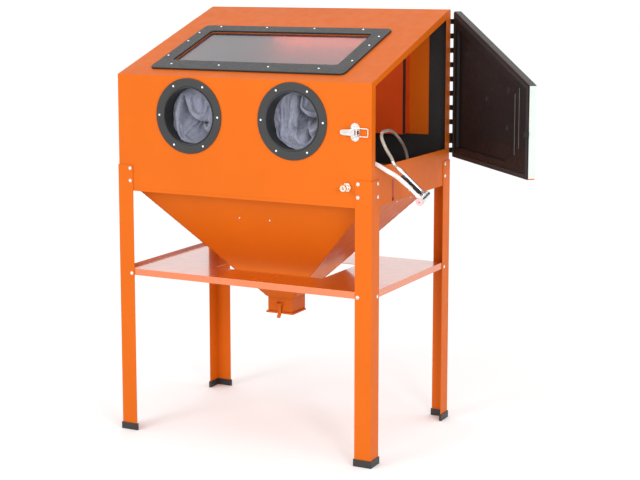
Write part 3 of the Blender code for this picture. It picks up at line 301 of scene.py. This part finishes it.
def smooth_by_angle(limit):
    """A geometry node group that shades a piece smooth, and keeps its edges sharper than the limit sharp."""
    group = bpy.data.node_groups.new("shade_by_angle", "GeometryNodeTree")
    group.interface.new_socket("Geometry", in_out="INPUT", socket_type="NodeSocketGeometry")
    group.interface.new_socket("Geometry", in_out="OUTPUT", socket_type="NodeSocketGeometry")
    nodes = group.nodes
    start = nodes.new("NodeGroupInput")
    end = nodes.new("NodeGroupOutput")
    bare = nodes.new("GeometryNodeRemoveAttribute")
    bare.inputs["Name"].default_value = "custom_normal"
    faces = nodes.new("GeometryNodeSetShadeSmooth")
    edges = nodes.new("GeometryNodeSetShadeSmooth")
    edges.domain = "EDGE"
    edges.inputs["Shade Smooth"].default_value = False
    angle = nodes.new("GeometryNodeInputMeshEdgeAngle")
    sharp = nodes.new("FunctionNodeCompare")
    sharp.inputs["B"].default_value = limit
    sharp.operation = "GREATER_THAN"
    group.links.new(start.outputs[0], bare.inputs["Geometry"])
    group.links.new(bare.outputs["Geometry"], faces.inputs["Geometry"])
    group.links.new(faces.outputs["Geometry"], edges.inputs["Geometry"])
    group.links.new(angle.outputs["Unsigned Angle"], sharp.inputs["A"])
    group.links.new(sharp.outputs["Result"], edges.inputs["Selection"])
    group.links.new(edges.outputs["Geometry"], end.inputs[0])
    return group


MATERIALS = make_materials()
SHADING = smooth_by_angle(math.radians(38))


def shade(thing):
    """Smooth across curves, and flat on the large faces beside a rounded edge."""
    modifier = thing.modifiers.new("shading", "NODES")
    modifier.node_group = SHADING
    weighted = thing.modifiers.new("flat_normals", "WEIGHTED_NORMAL")
    weighted.keep_sharp = True
    weighted.weight = 90


# How wide each finish's edges are rounded, in millimetres.
EDGE_WIDTH = {
    "orange_powder_coat": 0.9,
    "black_coat": 0.8,
    "black_plastic": 0.8,
    "zinc_plated_steel": 0.35,
    "aluminium": 0.5,
    "bare_steel": 0.4,
    "brass": 0.4,
    "pink_ceramic": 0.5,
}
# Nodes whose look isn't that of their slot.
OTHER_FINISH = {
    # The baffle gets the orange coat's painted-shade copy.
    "exhaust_baffle": "orange_painted_shade",
    "shelf": "orange_gloss",
}


def finish_cad_nodes():
    """Every CAD node keeps its shape, and gets its material and smooth shading; those of the finishes in
    EDGE_WIDTH also get rounded edges.
    """
    for name, node in NODES.items():
        slot = node.material_slots[0].material.name.split(".")[0]
        chosen = OTHER_FINISH.get(name, slot)
        for place in node.material_slots:
            place.link = "OBJECT"
            place.material = MATERIALS[chosen]
        weld = node.modifiers.new("weld", "WELD")
        weld.merge_threshold = 0.01 * MM
        flat = node.modifiers.new("flat_faces", "DECIMATE")
        flat.decimate_type = "DISSOLVE"
        flat.angle_limit = math.radians(1.0)
        if slot in EDGE_WIDTH:
            bevel = node.modifiers.new("edges", "BEVEL")
            bevel.width = EDGE_WIDTH[slot] * MM
            bevel.segments = 2
            bevel.limit_method = "ANGLE"
            bevel.angle_limit = math.radians(40)
        shade(node)


# ---------------------------------------------------------------- mesh tools


def new_piece(name, mesh, finish, body="root", smooth=True):
    """An object from a bmesh in the cabinet's axes, riding on a body."""
    bmesh.ops.recalc_face_normals(mesh, faces=mesh.faces)
    bmesh.ops.translate(mesh, verts=mesh.verts, vec=CENTRE)
    data = bpy.data.meshes.new(name)
    mesh.to_mesh(data)
    mesh.free()
    made = bpy.data.objects.new(name, data)
    bpy.context.scene.collection.objects.link(made)
    data.materials.append(MATERIALS[finish])
    if smooth:
        shade(made)
    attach(made, body)
    return made


def facing(direction):
    return Vector((0, 0, 1)).rotation_difference(Vector(direction)).to_matrix().to_4x4()


def turn_into(mesh, profile, place, direction, segments=16):
    """Adds a turned shape to a bmesh. The profile is (radius, height), and radius 0 closes it."""
    frame_of = Matrix.Translation(place) @ facing(direction)
    rows = []
    for radius, height in profile:
        if radius == 0:
            rows.append([mesh.verts.new(frame_of @ Vector((0, 0, height)))])
            continue
        row = []
        for k in range(segments):
            angle = 2 * math.pi * k / segments
            spot = Vector((radius * math.cos(angle), radius * math.sin(angle), height))
            row.append(mesh.verts.new(frame_of @ spot))
        rows.append(row)
    for low, high in zip(rows, rows[1:]):
        for k in range(segments):
            n = (k + 1) % segments
            if len(low) == 1 and len(high) == 1:
                continue
            if len(low) == 1:
                mesh.faces.new((low[0], high[k], high[n]))
            elif len(high) == 1:
                mesh.faces.new((low[k], low[n], high[0]))
            else:
                mesh.faces.new((low[k], low[n], high[n], high[k]))


def screw_profile(radius, washer=0.0):
    """A domed head with a socket in it, on a washer if it has one."""
    head = [(0.0, 0.25), (0.30, 0.25), (0.34, 0.52), (0.62, 0.50), (0.88, 0.32), (1.0, 0.06), (1.0, 0.0)]
    profile = [(r * radius, h * radius + washer * 0.12) for r, h in head]
    if washer:
        profile += [(washer, washer * 0.12), (washer, 0.0)]
    return profile + [(0.0, 0.0)]


def screws(name, places, radius, finish, washer=0.0, body="root"):
    """Screw heads in one piece. Each place is (point, direction it faces)."""
    mesh = bmesh.new()
    for point, direction in places:
        turn_into(mesh, screw_profile(radius, washer), Vector(point), Vector(direction), 18)
    return new_piece(name, mesh, finish, body)


def bar_into(mesh, points, radius, sides=8, flatten=1.0, out=None):
    """Adds a round or flattened bar along points to a bmesh, with closed ends."""
    points = [Vector(point) for point in points]
    rows = []
    for k, point in enumerate(points):
        along = (points[min(k + 1, len(points) - 1)] - points[max(k - 1, 0)]).normalized()
        normal = Vector(out) if out else along.orthogonal()
        normal = (normal - normal.dot(along) * along).normalized()
        side = along.cross(normal)
        row = []
        for s in range(sides):
            angle = 2 * math.pi * s / sides
            offset = side * math.cos(angle) + normal * math.sin(angle) * flatten
            row.append(mesh.verts.new(point + radius * offset))
        rows.append(row)
    for low, high in zip(rows, rows[1:]):
        for s in range(sides):
            mesh.faces.new((low[s], low[(s + 1) % sides], high[(s + 1) % sides], high[s]))
    mesh.faces.new(rows[0][::-1])
    mesh.faces.new(rows[-1])


def slope_matrix():
    """From (x, distance up the window's slope, height above it) to the cabinet's axes."""
    out = Vector((0, -SLOPE_RUN.z, SLOPE_RUN.y))
    turn = Matrix((Vector((1, 0, 0)), SLOPE_RUN, out)).transposed().to_4x4()
    return Matrix.Translation((0, -BODY_Y, FOLD_Z)) @ turn


def door_matrix():
    """From the shut door to the door as it stands open at rest."""
    return Matrix.Translation(HINGE) @ Matrix.Rotation(DOOR_OPEN, 4, "Z") @ Matrix.Translation(-HINGE)


# ---------------------------------------------------------------- hoses

AIR_HOSE_DIAMETER = 0.0105
SUCTION_HOSE_DIAMETER = 0.015
GUN_HEAD = Vector((0.625, -0.230, 0.8875))
GUN_AIR_END = Vector((0.535, -0.254, 0.976))
GUN_NOZZLE_TOWARDS = Vector((-0.154, -0.951, -0.269))
INLET_TAIL = Vector((0.395, -0.2812, 0.911))
ROUTE_STEP = 0.006


def gun_axes():
    """From the gun's own axes (nozzle along x, handle along z) to the cabinet's."""
    up = (GUN_AIR_END - GUN_HEAD).normalized()
    front = (GUN_NOZZLE_TOWARDS - GUN_NOZZLE_TOWARDS.dot(up) * up).normalized()
    turn = Matrix((front, up.cross(front), up)).transposed().to_4x4()
    return Matrix.Translation(GUN_HEAD) @ turn


def air_hose_route():
    """From the inlet's tail, back under the work grate, up through its open corner and over to the gun."""
    up = (GUN_AIR_END - GUN_HEAD).normalized()
    return [
        INLET_TAIL + Vector((0, 0.0003, 0)),
        INLET_TAIL + Vector((0, 0.030, 0)),
        (0.3965, -0.180, 0.909),
        (0.401, -0.090, 0.9066),
        (0.405, 0.000, 0.9060),
        (0.407, 0.071, 0.9062),
        (0.408, 0.101, 0.918),
        (0.409, 0.113, 0.9445),
        (0.407, 0.1065, 0.975),
        (0.410, 0.080, 1.000),
        (0.423, 0.014, 1.032),
        (0.435, -0.056, 1.060),
        (0.458, -0.135, 1.076),
        (0.481, -0.209, 1.085),
        (0.488, -0.257, 1.085),
        (0.493, -0.281, 1.076),
        (0.503, -0.293, 1.061),
        (0.514, -0.290, 1.036),
        (0.520, -0.264, 1.006),
        GUN_AIR_END + up * 0.012,
        GUN_AIR_END + up * 0.0003,
    ]


def suction_hose_route():
    """From the stub beside the gun's head, over the sill and down into the hopper's foot."""
    axes = gun_axes()
    stub = axes @ Vector((0.029, 0, 0.045))
    up = axes.to_3x3() @ Vector((0, 0, 1))
    return [
        stub + up * 0.0003,
        stub + up * 0.014,
        (0.5435, -0.2705, 0.947),
        (0.510, -0.280, 0.967),
        (0.477, -0.2825, 0.984),
        (0.446, -0.285, 0.9925),
        (0.414, -0.284, 0.987),
        (0.387, -0.277, 0.967),
        (0.369, -0.264, 0.935),
        (0.354, -0.240, 0.893),
        (0.325, -0.200, 0.835),
        (0.275, -0.153, 0.772),
        (0.210, -0.108, 0.702),
        (0.140, -0.068, 0.630),
        (0.070, -0.030, 0.553),
        (0.028, -0.010, 0.490),
    ]


def smooth_route(points, spacing):
    """Points at an even spacing along a smooth curve through the route's own points."""
    points = [Vector(point) for point in points]
    padded = [2 * points[0] - points[1], *points, 2 * points[-1] - points[-2]]
    dense = []
    for a, b, c, d in zip(padded, padded[1:], padded[2:], padded[3:]):
        for k in range(24):
            t = k / 24
            square = (2 * a - 5 * b + 4 * c - d) * t**2
            dense.append(0.5 * (2 * b + (c - a) * t + square + (3 * b - a - 3 * c + d) * t**3))
    dense.append(points[-1])
    walked = [0.0]
    for a, b in zip(dense, dense[1:]):
        walked.append(walked[-1] + (b - a).length)
    count = max(2, round(walked[-1] / spacing))
    even = []
    k = 0
    for step in range(count + 1):
        target = walked[-1] * step / count
        while k < len(walked) - 2 and walked[k + 1] < target:
            k += 1
        share = (target - walked[k]) / max(walked[k + 1] - walked[k], 1e-9)
        even.append(dense[k].lerp(dense[k + 1], min(max(share, 0.0), 1.0)))
    return even, walked[-1]


def make_hose(name, route, diameter, finish):
    points, length = smooth_route(route, ROUTE_STEP)
    curve = bpy.data.curves.new(name, "CURVE")
    curve.dimensions = "3D"
    curve.bevel_depth = diameter / 2
    curve.bevel_resolution = 6
    curve.use_fill_caps = True
    spline = curve.splines.new("POLY")
    spline.points.add(len(points) - 1)
    for target, point in zip(spline.points, points):
        target.co = (*(CENTRE + point), 1.0)
    spline.use_smooth = True
    curve.materials.append(MATERIALS[finish])
    hose = bpy.data.objects.new(name + "_run", curve)
    bpy.context.scene.collection.objects.link(hose)
    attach(hose, "root")
    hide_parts(name)
    return points


def clamp_into(mesh, points, position, radius):
    """Adds a crimped ferrule with two rolled ribs, round a hose at one of its points."""
    direction = (points[position + 1] - points[position]).normalized()
    rib, waist = radius + 0.9, radius + 0.5
    profile = [(radius, -6), (rib, -6), (rib, -3), (waist, -2.4), (waist, 2.4), (rib, 3), (rib, 6)]
    profile += [(radius, 6), (radius, -6)]
    turn_into(mesh, [(r * MM, h * MM) for r, h in profile], points[position], direction, 24)


def make_hoses():
    air = make_hose(
        "air_hose", air_hose_route(), AIR_HOSE_DIAMETER, "grey_hose"
    )
    suction = make_hose(
        "suction_hose", suction_hose_route(), SUCTION_HOSE_DIAMETER, "clear_vinyl"
    )
    mesh = bmesh.new()
    clamp_into(mesh, air, 2, 5.3)
    clamp_into(mesh, air, len(air) - 4, 5.3)
    new_piece("air_hose_ferrules", mesh, "aluminium")
    mesh = bmesh.new()
    clamp_into(mesh, suction, 2, 7.55)
    new_piece("suction_hose_clamp", mesh, "zinc_plated_steel")


make_camera()
make_hoses()
finish_cad_nodes()


# ---------------------------------------------------------------- gloves

RIM_RADIUS = 0.0930
RIM_Y = -BODY_Y + 0.050
SLACK = 0.17
CLOTH_FRAMES = 25
# The bottoms of the large folds, as shares of the rim's radius from the port's middle.
CREASES = {
    "left": [
        [(-0.52, 0.62), (-0.12, 0.10), (0.22, -0.32), (0.52, -0.74)],
        [(-0.02, 0.02), (0.44, -0.06)],
    ],
    "right": [
        [(-0.02, 0.86), (0.02, 0.42), (0.20, -0.02), (0.36, -0.52)],
        [(0.06, 0.30), (0.40, 0.12), (0.66, 0.16)],
    ],
}


def crease_depth(point, lines, width):
    """How deep a fold lies at a point of the port, from 0 to 1. The lines are the folds' bottoms."""
    nearest = 9.0
    for line in lines:
        for a, b in zip(line, line[1:]):
            a, b = Vector(a), Vector(b)
            share = max(0.0, min(1.0, (point - a).dot(b - a) / (b - a).length_squared))
            nearest = min(nearest, (point - a.lerp(b, share)).length)
    return math.exp(-((nearest / width) ** 2))


def crumpled_sheet(side, x):
    """The sleeve's slack cloth behind the port, pushed in along its creases. settle() folds it."""
    rings, spokes = 30, 84
    mesh = bmesh.new()
    rows = []
    for i in range(1, rings + 1):
        row = []
        for k in range(spokes):
            angle = 2 * math.pi * k / spokes
            flat = Vector((math.cos(angle), math.sin(angle))) * (i / rings)
            inside = 1 - (i / rings) ** 4
            fold = crease_depth(flat, CREASES[side], 0.13)
            ripple = noise.noise(Vector((flat.x * 2.6 + 7 * x, flat.y * 2.6, 4.0)))
            y = RIM_Y + inside * (-0.032 + 0.088 * fold + 0.016 * ripple)
            row.append(mesh.verts.new((x + flat.x * RIM_RADIUS, y, PORT_Z + flat.y * RIM_RADIUS)))
        rows.append(row)
    middle = mesh.verts.new((x, RIM_Y - 0.01, PORT_Z))
    for k in range(spokes):
        mesh.faces.new((middle, rows[0][k], rows[0][(k + 1) % spokes]))
    for low, high in zip(rows, rows[1:]):
        for k in range(spokes):
            n = (k + 1) % spokes
            mesh.faces.new((low[k], low[n], high[n], high[k]))
    return mesh


def settle(thing, side):
    """Runs the cloth with its rim and the bottoms of its folds held, and keeps the result as the mesh."""
    held = thing.vertex_groups.new(name="held")
    for vertex in thing.data.vertices:
        local = vertex.co - CENTRE
        x = -PORT_X if side == "left" else PORT_X
        flat = Vector(((local.x - x) / RIM_RADIUS, (local.z - PORT_Z) / RIM_RADIUS))
        if flat.length > 0.985 or crease_depth(flat, CREASES[side], 0.05) > 0.6:
            held.add([vertex.index], 1.0, "REPLACE")
    cloth = thing.modifiers.new("cloth", "CLOTH")
    settings = cloth.settings
    settings.quality = 6
    settings.mass = 0.25
    settings.tension_stiffness = 12
    settings.compression_stiffness = 12
    settings.shear_stiffness = 4
    settings.bending_stiffness = 0.6
    settings.vertex_group_mass = "held"
    settings.pin_stiffness = 1.0
    settings.shrink_min = -SLACK
    cloth.collision_settings.use_collision = False
    cloth.collision_settings.use_self_collision = True
    cloth.collision_settings.self_distance_min = 1.6 * MM
    scene = bpy.context.scene
    for number in range(1, CLOTH_FRAMES + 1):
        scene.frame_set(number)
    graph = bpy.context.evaluated_depsgraph_get()
    result = bpy.data.meshes.new_from_object(thing.evaluated_get(graph))
    scene.frame_set(1)
    thing.modifiers.clear()
    thing.data = result


# The sleeve's middle line, as (y, drop below the port's middle, radius).
SLEEVE_PATH = [
    (-0.262, 0.0, 0.0935),
    (-0.215, -0.004, 0.086),
    (-0.170, -0.010, 0.077),
    (-0.130, -0.026, 0.071),
    (-0.090, -0.046, 0.064),
    (-0.060, -0.066, 0.059),
    (-0.035, -0.086, 0.052),
    (-0.018, -0.098, 0.046),
]
SLEEVE_TILT = math.radians(38)


def sleeve_mesh(x):
    """The rest of the sleeve: a tube that narrows, sags and wrinkles towards the cuff."""
    mesh = bmesh.new()
    rows = []
    steps, spokes = 44, 64
    for i in range(steps + 1):
        share = i / steps * (len(SLEEVE_PATH) - 1)
        k = min(int(share), len(SLEEVE_PATH) - 2)
        a, b = Vector(SLEEVE_PATH[k]), Vector(SLEEVE_PATH[k + 1])
        y, drop, radius = a.lerp(b, share - k)
        tilt = min(1.0, i / steps * 1.4) * SLEEVE_TILT
        rim = min(1.0, i / 5)
        row = []
        for s in range(spokes):
            angle = 2 * math.pi * s / spokes
            wave = 0.045 * math.sin(i * 0.95 + 1.7 * math.sin(angle * 2 + x * 9))
            wave = wave + 0.03 * math.sin(angle * 7 + i * 0.4)
            r = radius * (1 + rim * (wave - 0.05))
            across, height = r * math.cos(angle), r * math.sin(angle)
            z = PORT_Z + drop + height * math.cos(tilt)
            row.append(mesh.verts.new((x + across, y + height * math.sin(tilt), z)))
        rows.append(row)
    for low, high in zip(rows, rows[1:]):
        for s in range(spokes):
            n = (s + 1) % spokes
            mesh.faces.new((low[s], low[n], high[n], high[s]))
    return mesh


# Each finger as (place across the palm, lift, length).
FINGERS = [(-0.030, 0.0, 0.052), (-0.010, -0.004, 0.060), (0.010, -0.003, 0.057), (0.029, 0.002, 0.046)]


def hand_piece(side, x):
    """The rubber glove at the sleeve's end: palm, four fingers and a thumb, melted into one skin."""
    mesh = bmesh.new()
    root = Vector((x, -0.030, PORT_Z - 0.088))
    along = Vector((0, 0.62, -0.78)).normalized()
    palm = [root, root + along * 0.02, root + along * 0.045, root + along * 0.062]
    bar_into(mesh, palm, 0.040, 20, 0.62, (0, 0.8, 0.6))
    for offset, lift, length in FINGERS:
        start = root + along * 0.045 + Vector((offset, lift, 0))
        bend = Vector((offset * 0.25, -0.010, -0.004))
        finger = [start, start + along * length * 0.55, start + along * length * 0.85 + bend]
        bar_into(mesh, finger, 0.0098, 12)
    thumb = root + along * 0.020 + Vector((0.030 if x < 0 else -0.030, -0.010, 0))
    aside = Vector((0.020 if x < 0 else -0.020, -0.012, -0.034))
    bar_into(mesh, [thumb, thumb + aside * 0.6, thumb + aside], 0.0110, 12)
    hand = new_piece(f"glove_{side}_hand", mesh, "glove_rubber", smooth=False)
    skin = hand.modifiers.new("skin", "REMESH")
    skin.mode = "VOXEL"
    skin.voxel_size = 2.6 * MM
    skin.use_smooth_shade = True
    soft = hand.modifiers.new("soft", "SMOOTH")
    soft.iterations = 8
    graph = bpy.context.evaluated_depsgraph_get()
    result = bpy.data.meshes.new_from_object(hand.evaluated_get(graph))
    hand.modifiers.clear()
    hand.data = result
    return hand


def smooth_faces(thing):
    for face in thing.data.polygons:
        face.use_smooth = True


def make_gloves():
    for side, x in (("left", -PORT_X), ("right", PORT_X)):
        folds = new_piece(f"glove_{side}_folds", crumpled_sheet(side, x), "glove_fabric", smooth=False)
        settle(folds, side)
        smooth_faces(folds)
        finer = folds.modifiers.new("finer", "SUBSURF")
        finer.levels = finer.render_levels = 1
        sleeve = new_piece(f"glove_{side}_sleeve", sleeve_mesh(x), "glove_fabric", smooth=False)
        smooth_faces(sleeve)
        hand = hand_piece(side, x)
        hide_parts(f"glove_{side}")


make_gloves()


# ---------------------------------------------------------------- screws and small parts


BOLT_HEIGHTS = (0.880, 0.9225, 0.558)
BOLT_X = 0.4315
BOLT_Y = 0.277
WINDOW_FRAME_TOP = 7.0 * MM
RING_BOLT_RADIUS = 0.113
RING_TOP = 4.8 * MM


def make_screws():
    front, right, left, back = (0, -1, 0), (1, 0, 0), (-1, 0, 0), (0, 1, 0)
    places = []
    for z in BOLT_HEIGHTS:
        for x in (-BOLT_X, BOLT_X):
            places.append(((x, -LEG_Y, z), front))
            places.append(((x, LEG_Y, z), back))
        for y in (-BOLT_Y, BOLT_Y):
            places.append(((LEG_X, y, z), right))
            places.append(((-LEG_X, y, z), left))
    screws("frame_bolts", places, 4.2 * MM, "zinc_plated_steel", 6.2 * MM)

    slope = slope_matrix()
    out = slope.to_3x3() @ Vector((0, 0, 1))
    places = []
    for x in (-0.312, -0.125, 0.063, 0.250):
        for s in (0.087, 0.437):
            places.append((slope @ Vector((x, s, WINDOW_FRAME_TOP)), out))
    for x in (-0.368, 0.336):
        for s in (0.160, 0.296, 0.376):
            places.append((slope @ Vector((x, s, WINDOW_FRAME_TOP)), out))
    screws("window_screws", places, 3.4 * MM, "white_screw")

    for side, x in (("left", -PORT_X), ("right", PORT_X)):
        places = []
        for k in range(6):
            angle = math.pi / 3 * k
            across, up = RING_BOLT_RADIUS * math.cos(angle), RING_BOLT_RADIUS * math.sin(angle)
            places.append(((x + across, -BODY_Y - RING_TOP, PORT_Z + up), front))
        screws(f"arm_ring_screws_{side}", places, 3.4 * MM, "white_screw")

    wall = Vector((0, -1, -HOPPER_SLOPE[1])).normalized()
    side_wall = Vector((1, 0, -HOPPER_SLOPE[0])).normalized()
    front_z, side_z = 0.764, 0.818
    front_y = -HOPPER_FOOT_HALF - (front_z - HOPPER_FOOT_Z) * HOPPER_SLOPE[1]
    side_x = HOPPER_FOOT_HALF + (side_z - HOPPER_FOOT_Z) * HOPPER_SLOPE[0]
    places = [((x, front_y, front_z), wall) for x in (-0.058, 0.058)]
    places += [((side_x, y, side_z), side_wall) for y in (0.146, 0.03)]
    screws("hopper_screws", places, 3.2 * MM, "zinc_plated_steel", 4.6 * MM)

    face = -BODY_Y - 2.3 * MM
    rivets = [((0.4205, face, 1.087 + s * 0.0215), front) for s in (-1, 1)]
    screws("latch_rivets", rivets, 2.6 * MM, "zinc_plated_steel", 3.6 * MM)


def make_folds_and_welds():
    """What folding and welding leave on the sheets, and painted shade: a dark strip with a dark spot at its
    foot on the right sill, and a black strip down the baffle's side face.
    """
    weld_half = 0.0479
    mesh = bmesh.new()
    for sx in (-1, 1):
        for sy in (-1, 1):
            points = []
            for k in range(60):
                z = 0.464 + k / 59 * (0.842 - 0.464)
                rise = z - HOPPER_FOOT_Z
                wobble = 0.25 * MM * math.sin(k * 2.4 + sx)
                x = sx * (weld_half + rise * HOPPER_SLOPE[0] + wobble)
                y = sy * (weld_half + rise * HOPPER_SLOPE[1])
                points.append((x, y, z))
            bar_into(mesh, points, 1.3 * MM, 8)
    new_piece("hopper_welds", mesh, "orange_powder_coat")

    mesh = bmesh.new()
    hem_z = BODY_BOTTOM + 0.0100
    hem = [(x, -BODY_Y - 0.1 * MM, hem_z) for x in (-0.4165, 0.4165)]
    bar_into(mesh, hem, 1.1 * MM, 8, 0.5, (0, -1, 0))
    new_piece("front_hem_crease", mesh, "orange_powder_coat")

    # Painted shade: a dark strip, barely raised, down the right sill, and a near-black spot at its foot.
    mesh = bmesh.new()
    x = BODY_X + 0.05 * MM
    shade_strip_y = -0.1555
    points = [(x, shade_strip_y, 0.852 + 0.070 * k / 10) for k in range(11)]
    bar_into(mesh, points, 6.5 * MM, 12, 0.08, (1, 0, 0))
    new_piece("sill_shade_strip", mesh, "sill_strip_painted_shade")
    mesh = bmesh.new()
    profile = [(0.0, 0.8 * MM), (6.0 * MM, 0.8 * MM), (7.0 * MM, 0.0), (0.0, 0.0)]
    turn_into(mesh, profile, (x, shade_strip_y, 0.857), (1, 0, 0), 20)
    new_piece("sill_shade_spot", mesh, "hole")

    # Painted shade: a black strip down the baffle's side face, dark as that face in shade.
    low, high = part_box("exhaust_baffle")
    edge = high.x - CENTRE.x + 0.5 * MM
    front = low.y - CENTRE.y + 0.012
    mesh = bmesh.new()
    strip = [(edge, front, low.z + 0.002), (edge, front, high.z - 0.052)]
    bar_into(mesh, strip, 0.0115, 16, 0.06, (1, 0, 0))
    new_piece("baffle_side_shade_strip", mesh, "black_rubber")


def make_door_details():
    """The lining's moulded bead, painted light grey as its highlight, and its clip dimples, painted
    near-black as the shade in them, on the face that shows when the door is open.
    """
    opened = door_matrix()
    inside = 0.480

    def on_door(u, z, lift):
        """A place on the lining: u from the hinge, z up, and lift off its face."""
        return opened @ Vector((inside - lift, HINGE.y - u, z))

    mesh = bmesh.new()
    normal = opened.to_3x3() @ Vector((-1, 0, 0))
    for u, low, high in ((0.571, 1.034, 1.226), (0.539, 1.010, 1.205)):
        line = [on_door(u, high, 0.2 * MM), on_door(u, low, 0.2 * MM)]
        bar_into(mesh, line, 1.2 * MM, 8, 0.8, normal)
    new_piece("door_liner_beads", mesh, "bead_painted_highlight", "door")

    mesh = bmesh.new()
    profile = [(0.0, 0.2), (5.5, 0.2), (8.0, 1.0), (9.5, 0.6), (10.5, 0.0), (0.0, 0.0)]
    profile = [(radius * MM, height * MM) for radius, height in profile]
    for u, z in ((0.117, 1.304), (0.289, 1.169), (0.467, 1.210), (0.458, 1.087)):
        turn_into(mesh, profile, on_door(u, z, -9.0 * MM), normal, 24)
    new_piece("door_liner_clips", mesh, "hole", "door")


make_screws()
make_folds_and_welds()
make_door_details()


# ---------------------------------------------------------------- floor and light


def make_stage():
    size = 40.0
    mesh = bmesh.new()
    corners = [(-size, -size, 0), (size, -size, 0), (size, size, 0), (-size, size, 0)]
    mesh.faces.new([mesh.verts.new(corner) for corner in corners])
    data = bpy.data.meshes.new("floor")
    mesh.to_mesh(data)
    mesh.free()
    white = (0.88, 0.88, 0.88)
    finish = surface(
        "floor_white", white, 0.75, mottle=(2.0, 0.01), grain=(30.0, 0.05), Specular_IOR_Level=0.2
    )
    data.materials.append(finish)
    floor = bpy.data.objects.new("floor", data)
    bpy.context.scene.collection.objects.link(floor)


def soft_light(name, place, target, size, power):
    data = bpy.data.lights.new(name, "AREA")
    data.shape = "RECTANGLE"
    data.size, data.size_y = size
    data.energy = power
    light = bpy.data.objects.new(name, data)
    light.location = place
    light.rotation_euler = (Vector(target) - Vector(place)).to_track_quat("-Z", "Y").to_euler()
    bpy.context.scene.collection.objects.link(light)


def make_light():
    world = bpy.data.worlds.new("studio")
    world.use_nodes = True
    background = world.node_tree.nodes["Background"]
    background.inputs["Color"].default_value = (1.0, 1.0, 1.0, 1.0)
    background.inputs["Strength"].default_value = 1.14
    bpy.context.scene.world = world
    soft_light("key", at(-1.6, -4.6, 3.0), at(0, 0, 0.9), (2.2, 2.2), 76)
    soft_light("side", at(4.2, -1.6, 2.6), at(0.2, 0, 0.9), (1.4, 1.4), 20)
    soft_light("low_fill", at(0.9, -4.6, 0.5), at(0, 0, 0.7), (1.6, 0.8), 22)
    soft_light("doorway", at(3.0, -2.9, 1.7), at(0.2, 0.3, 1.15), (0.8, 0.8), 45)
    low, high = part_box("lamp_lens")
    middle = (low + high) / 2
    below = middle - Vector((0, 0, 0.016))
    soft_light("cabinet_lamp", below, middle - Vector((0, 0, 1)), (0.36, 0.028), 1.1)
    bpy.context.scene.view_settings.view_transform = "Standard"


make_stage()
make_light()
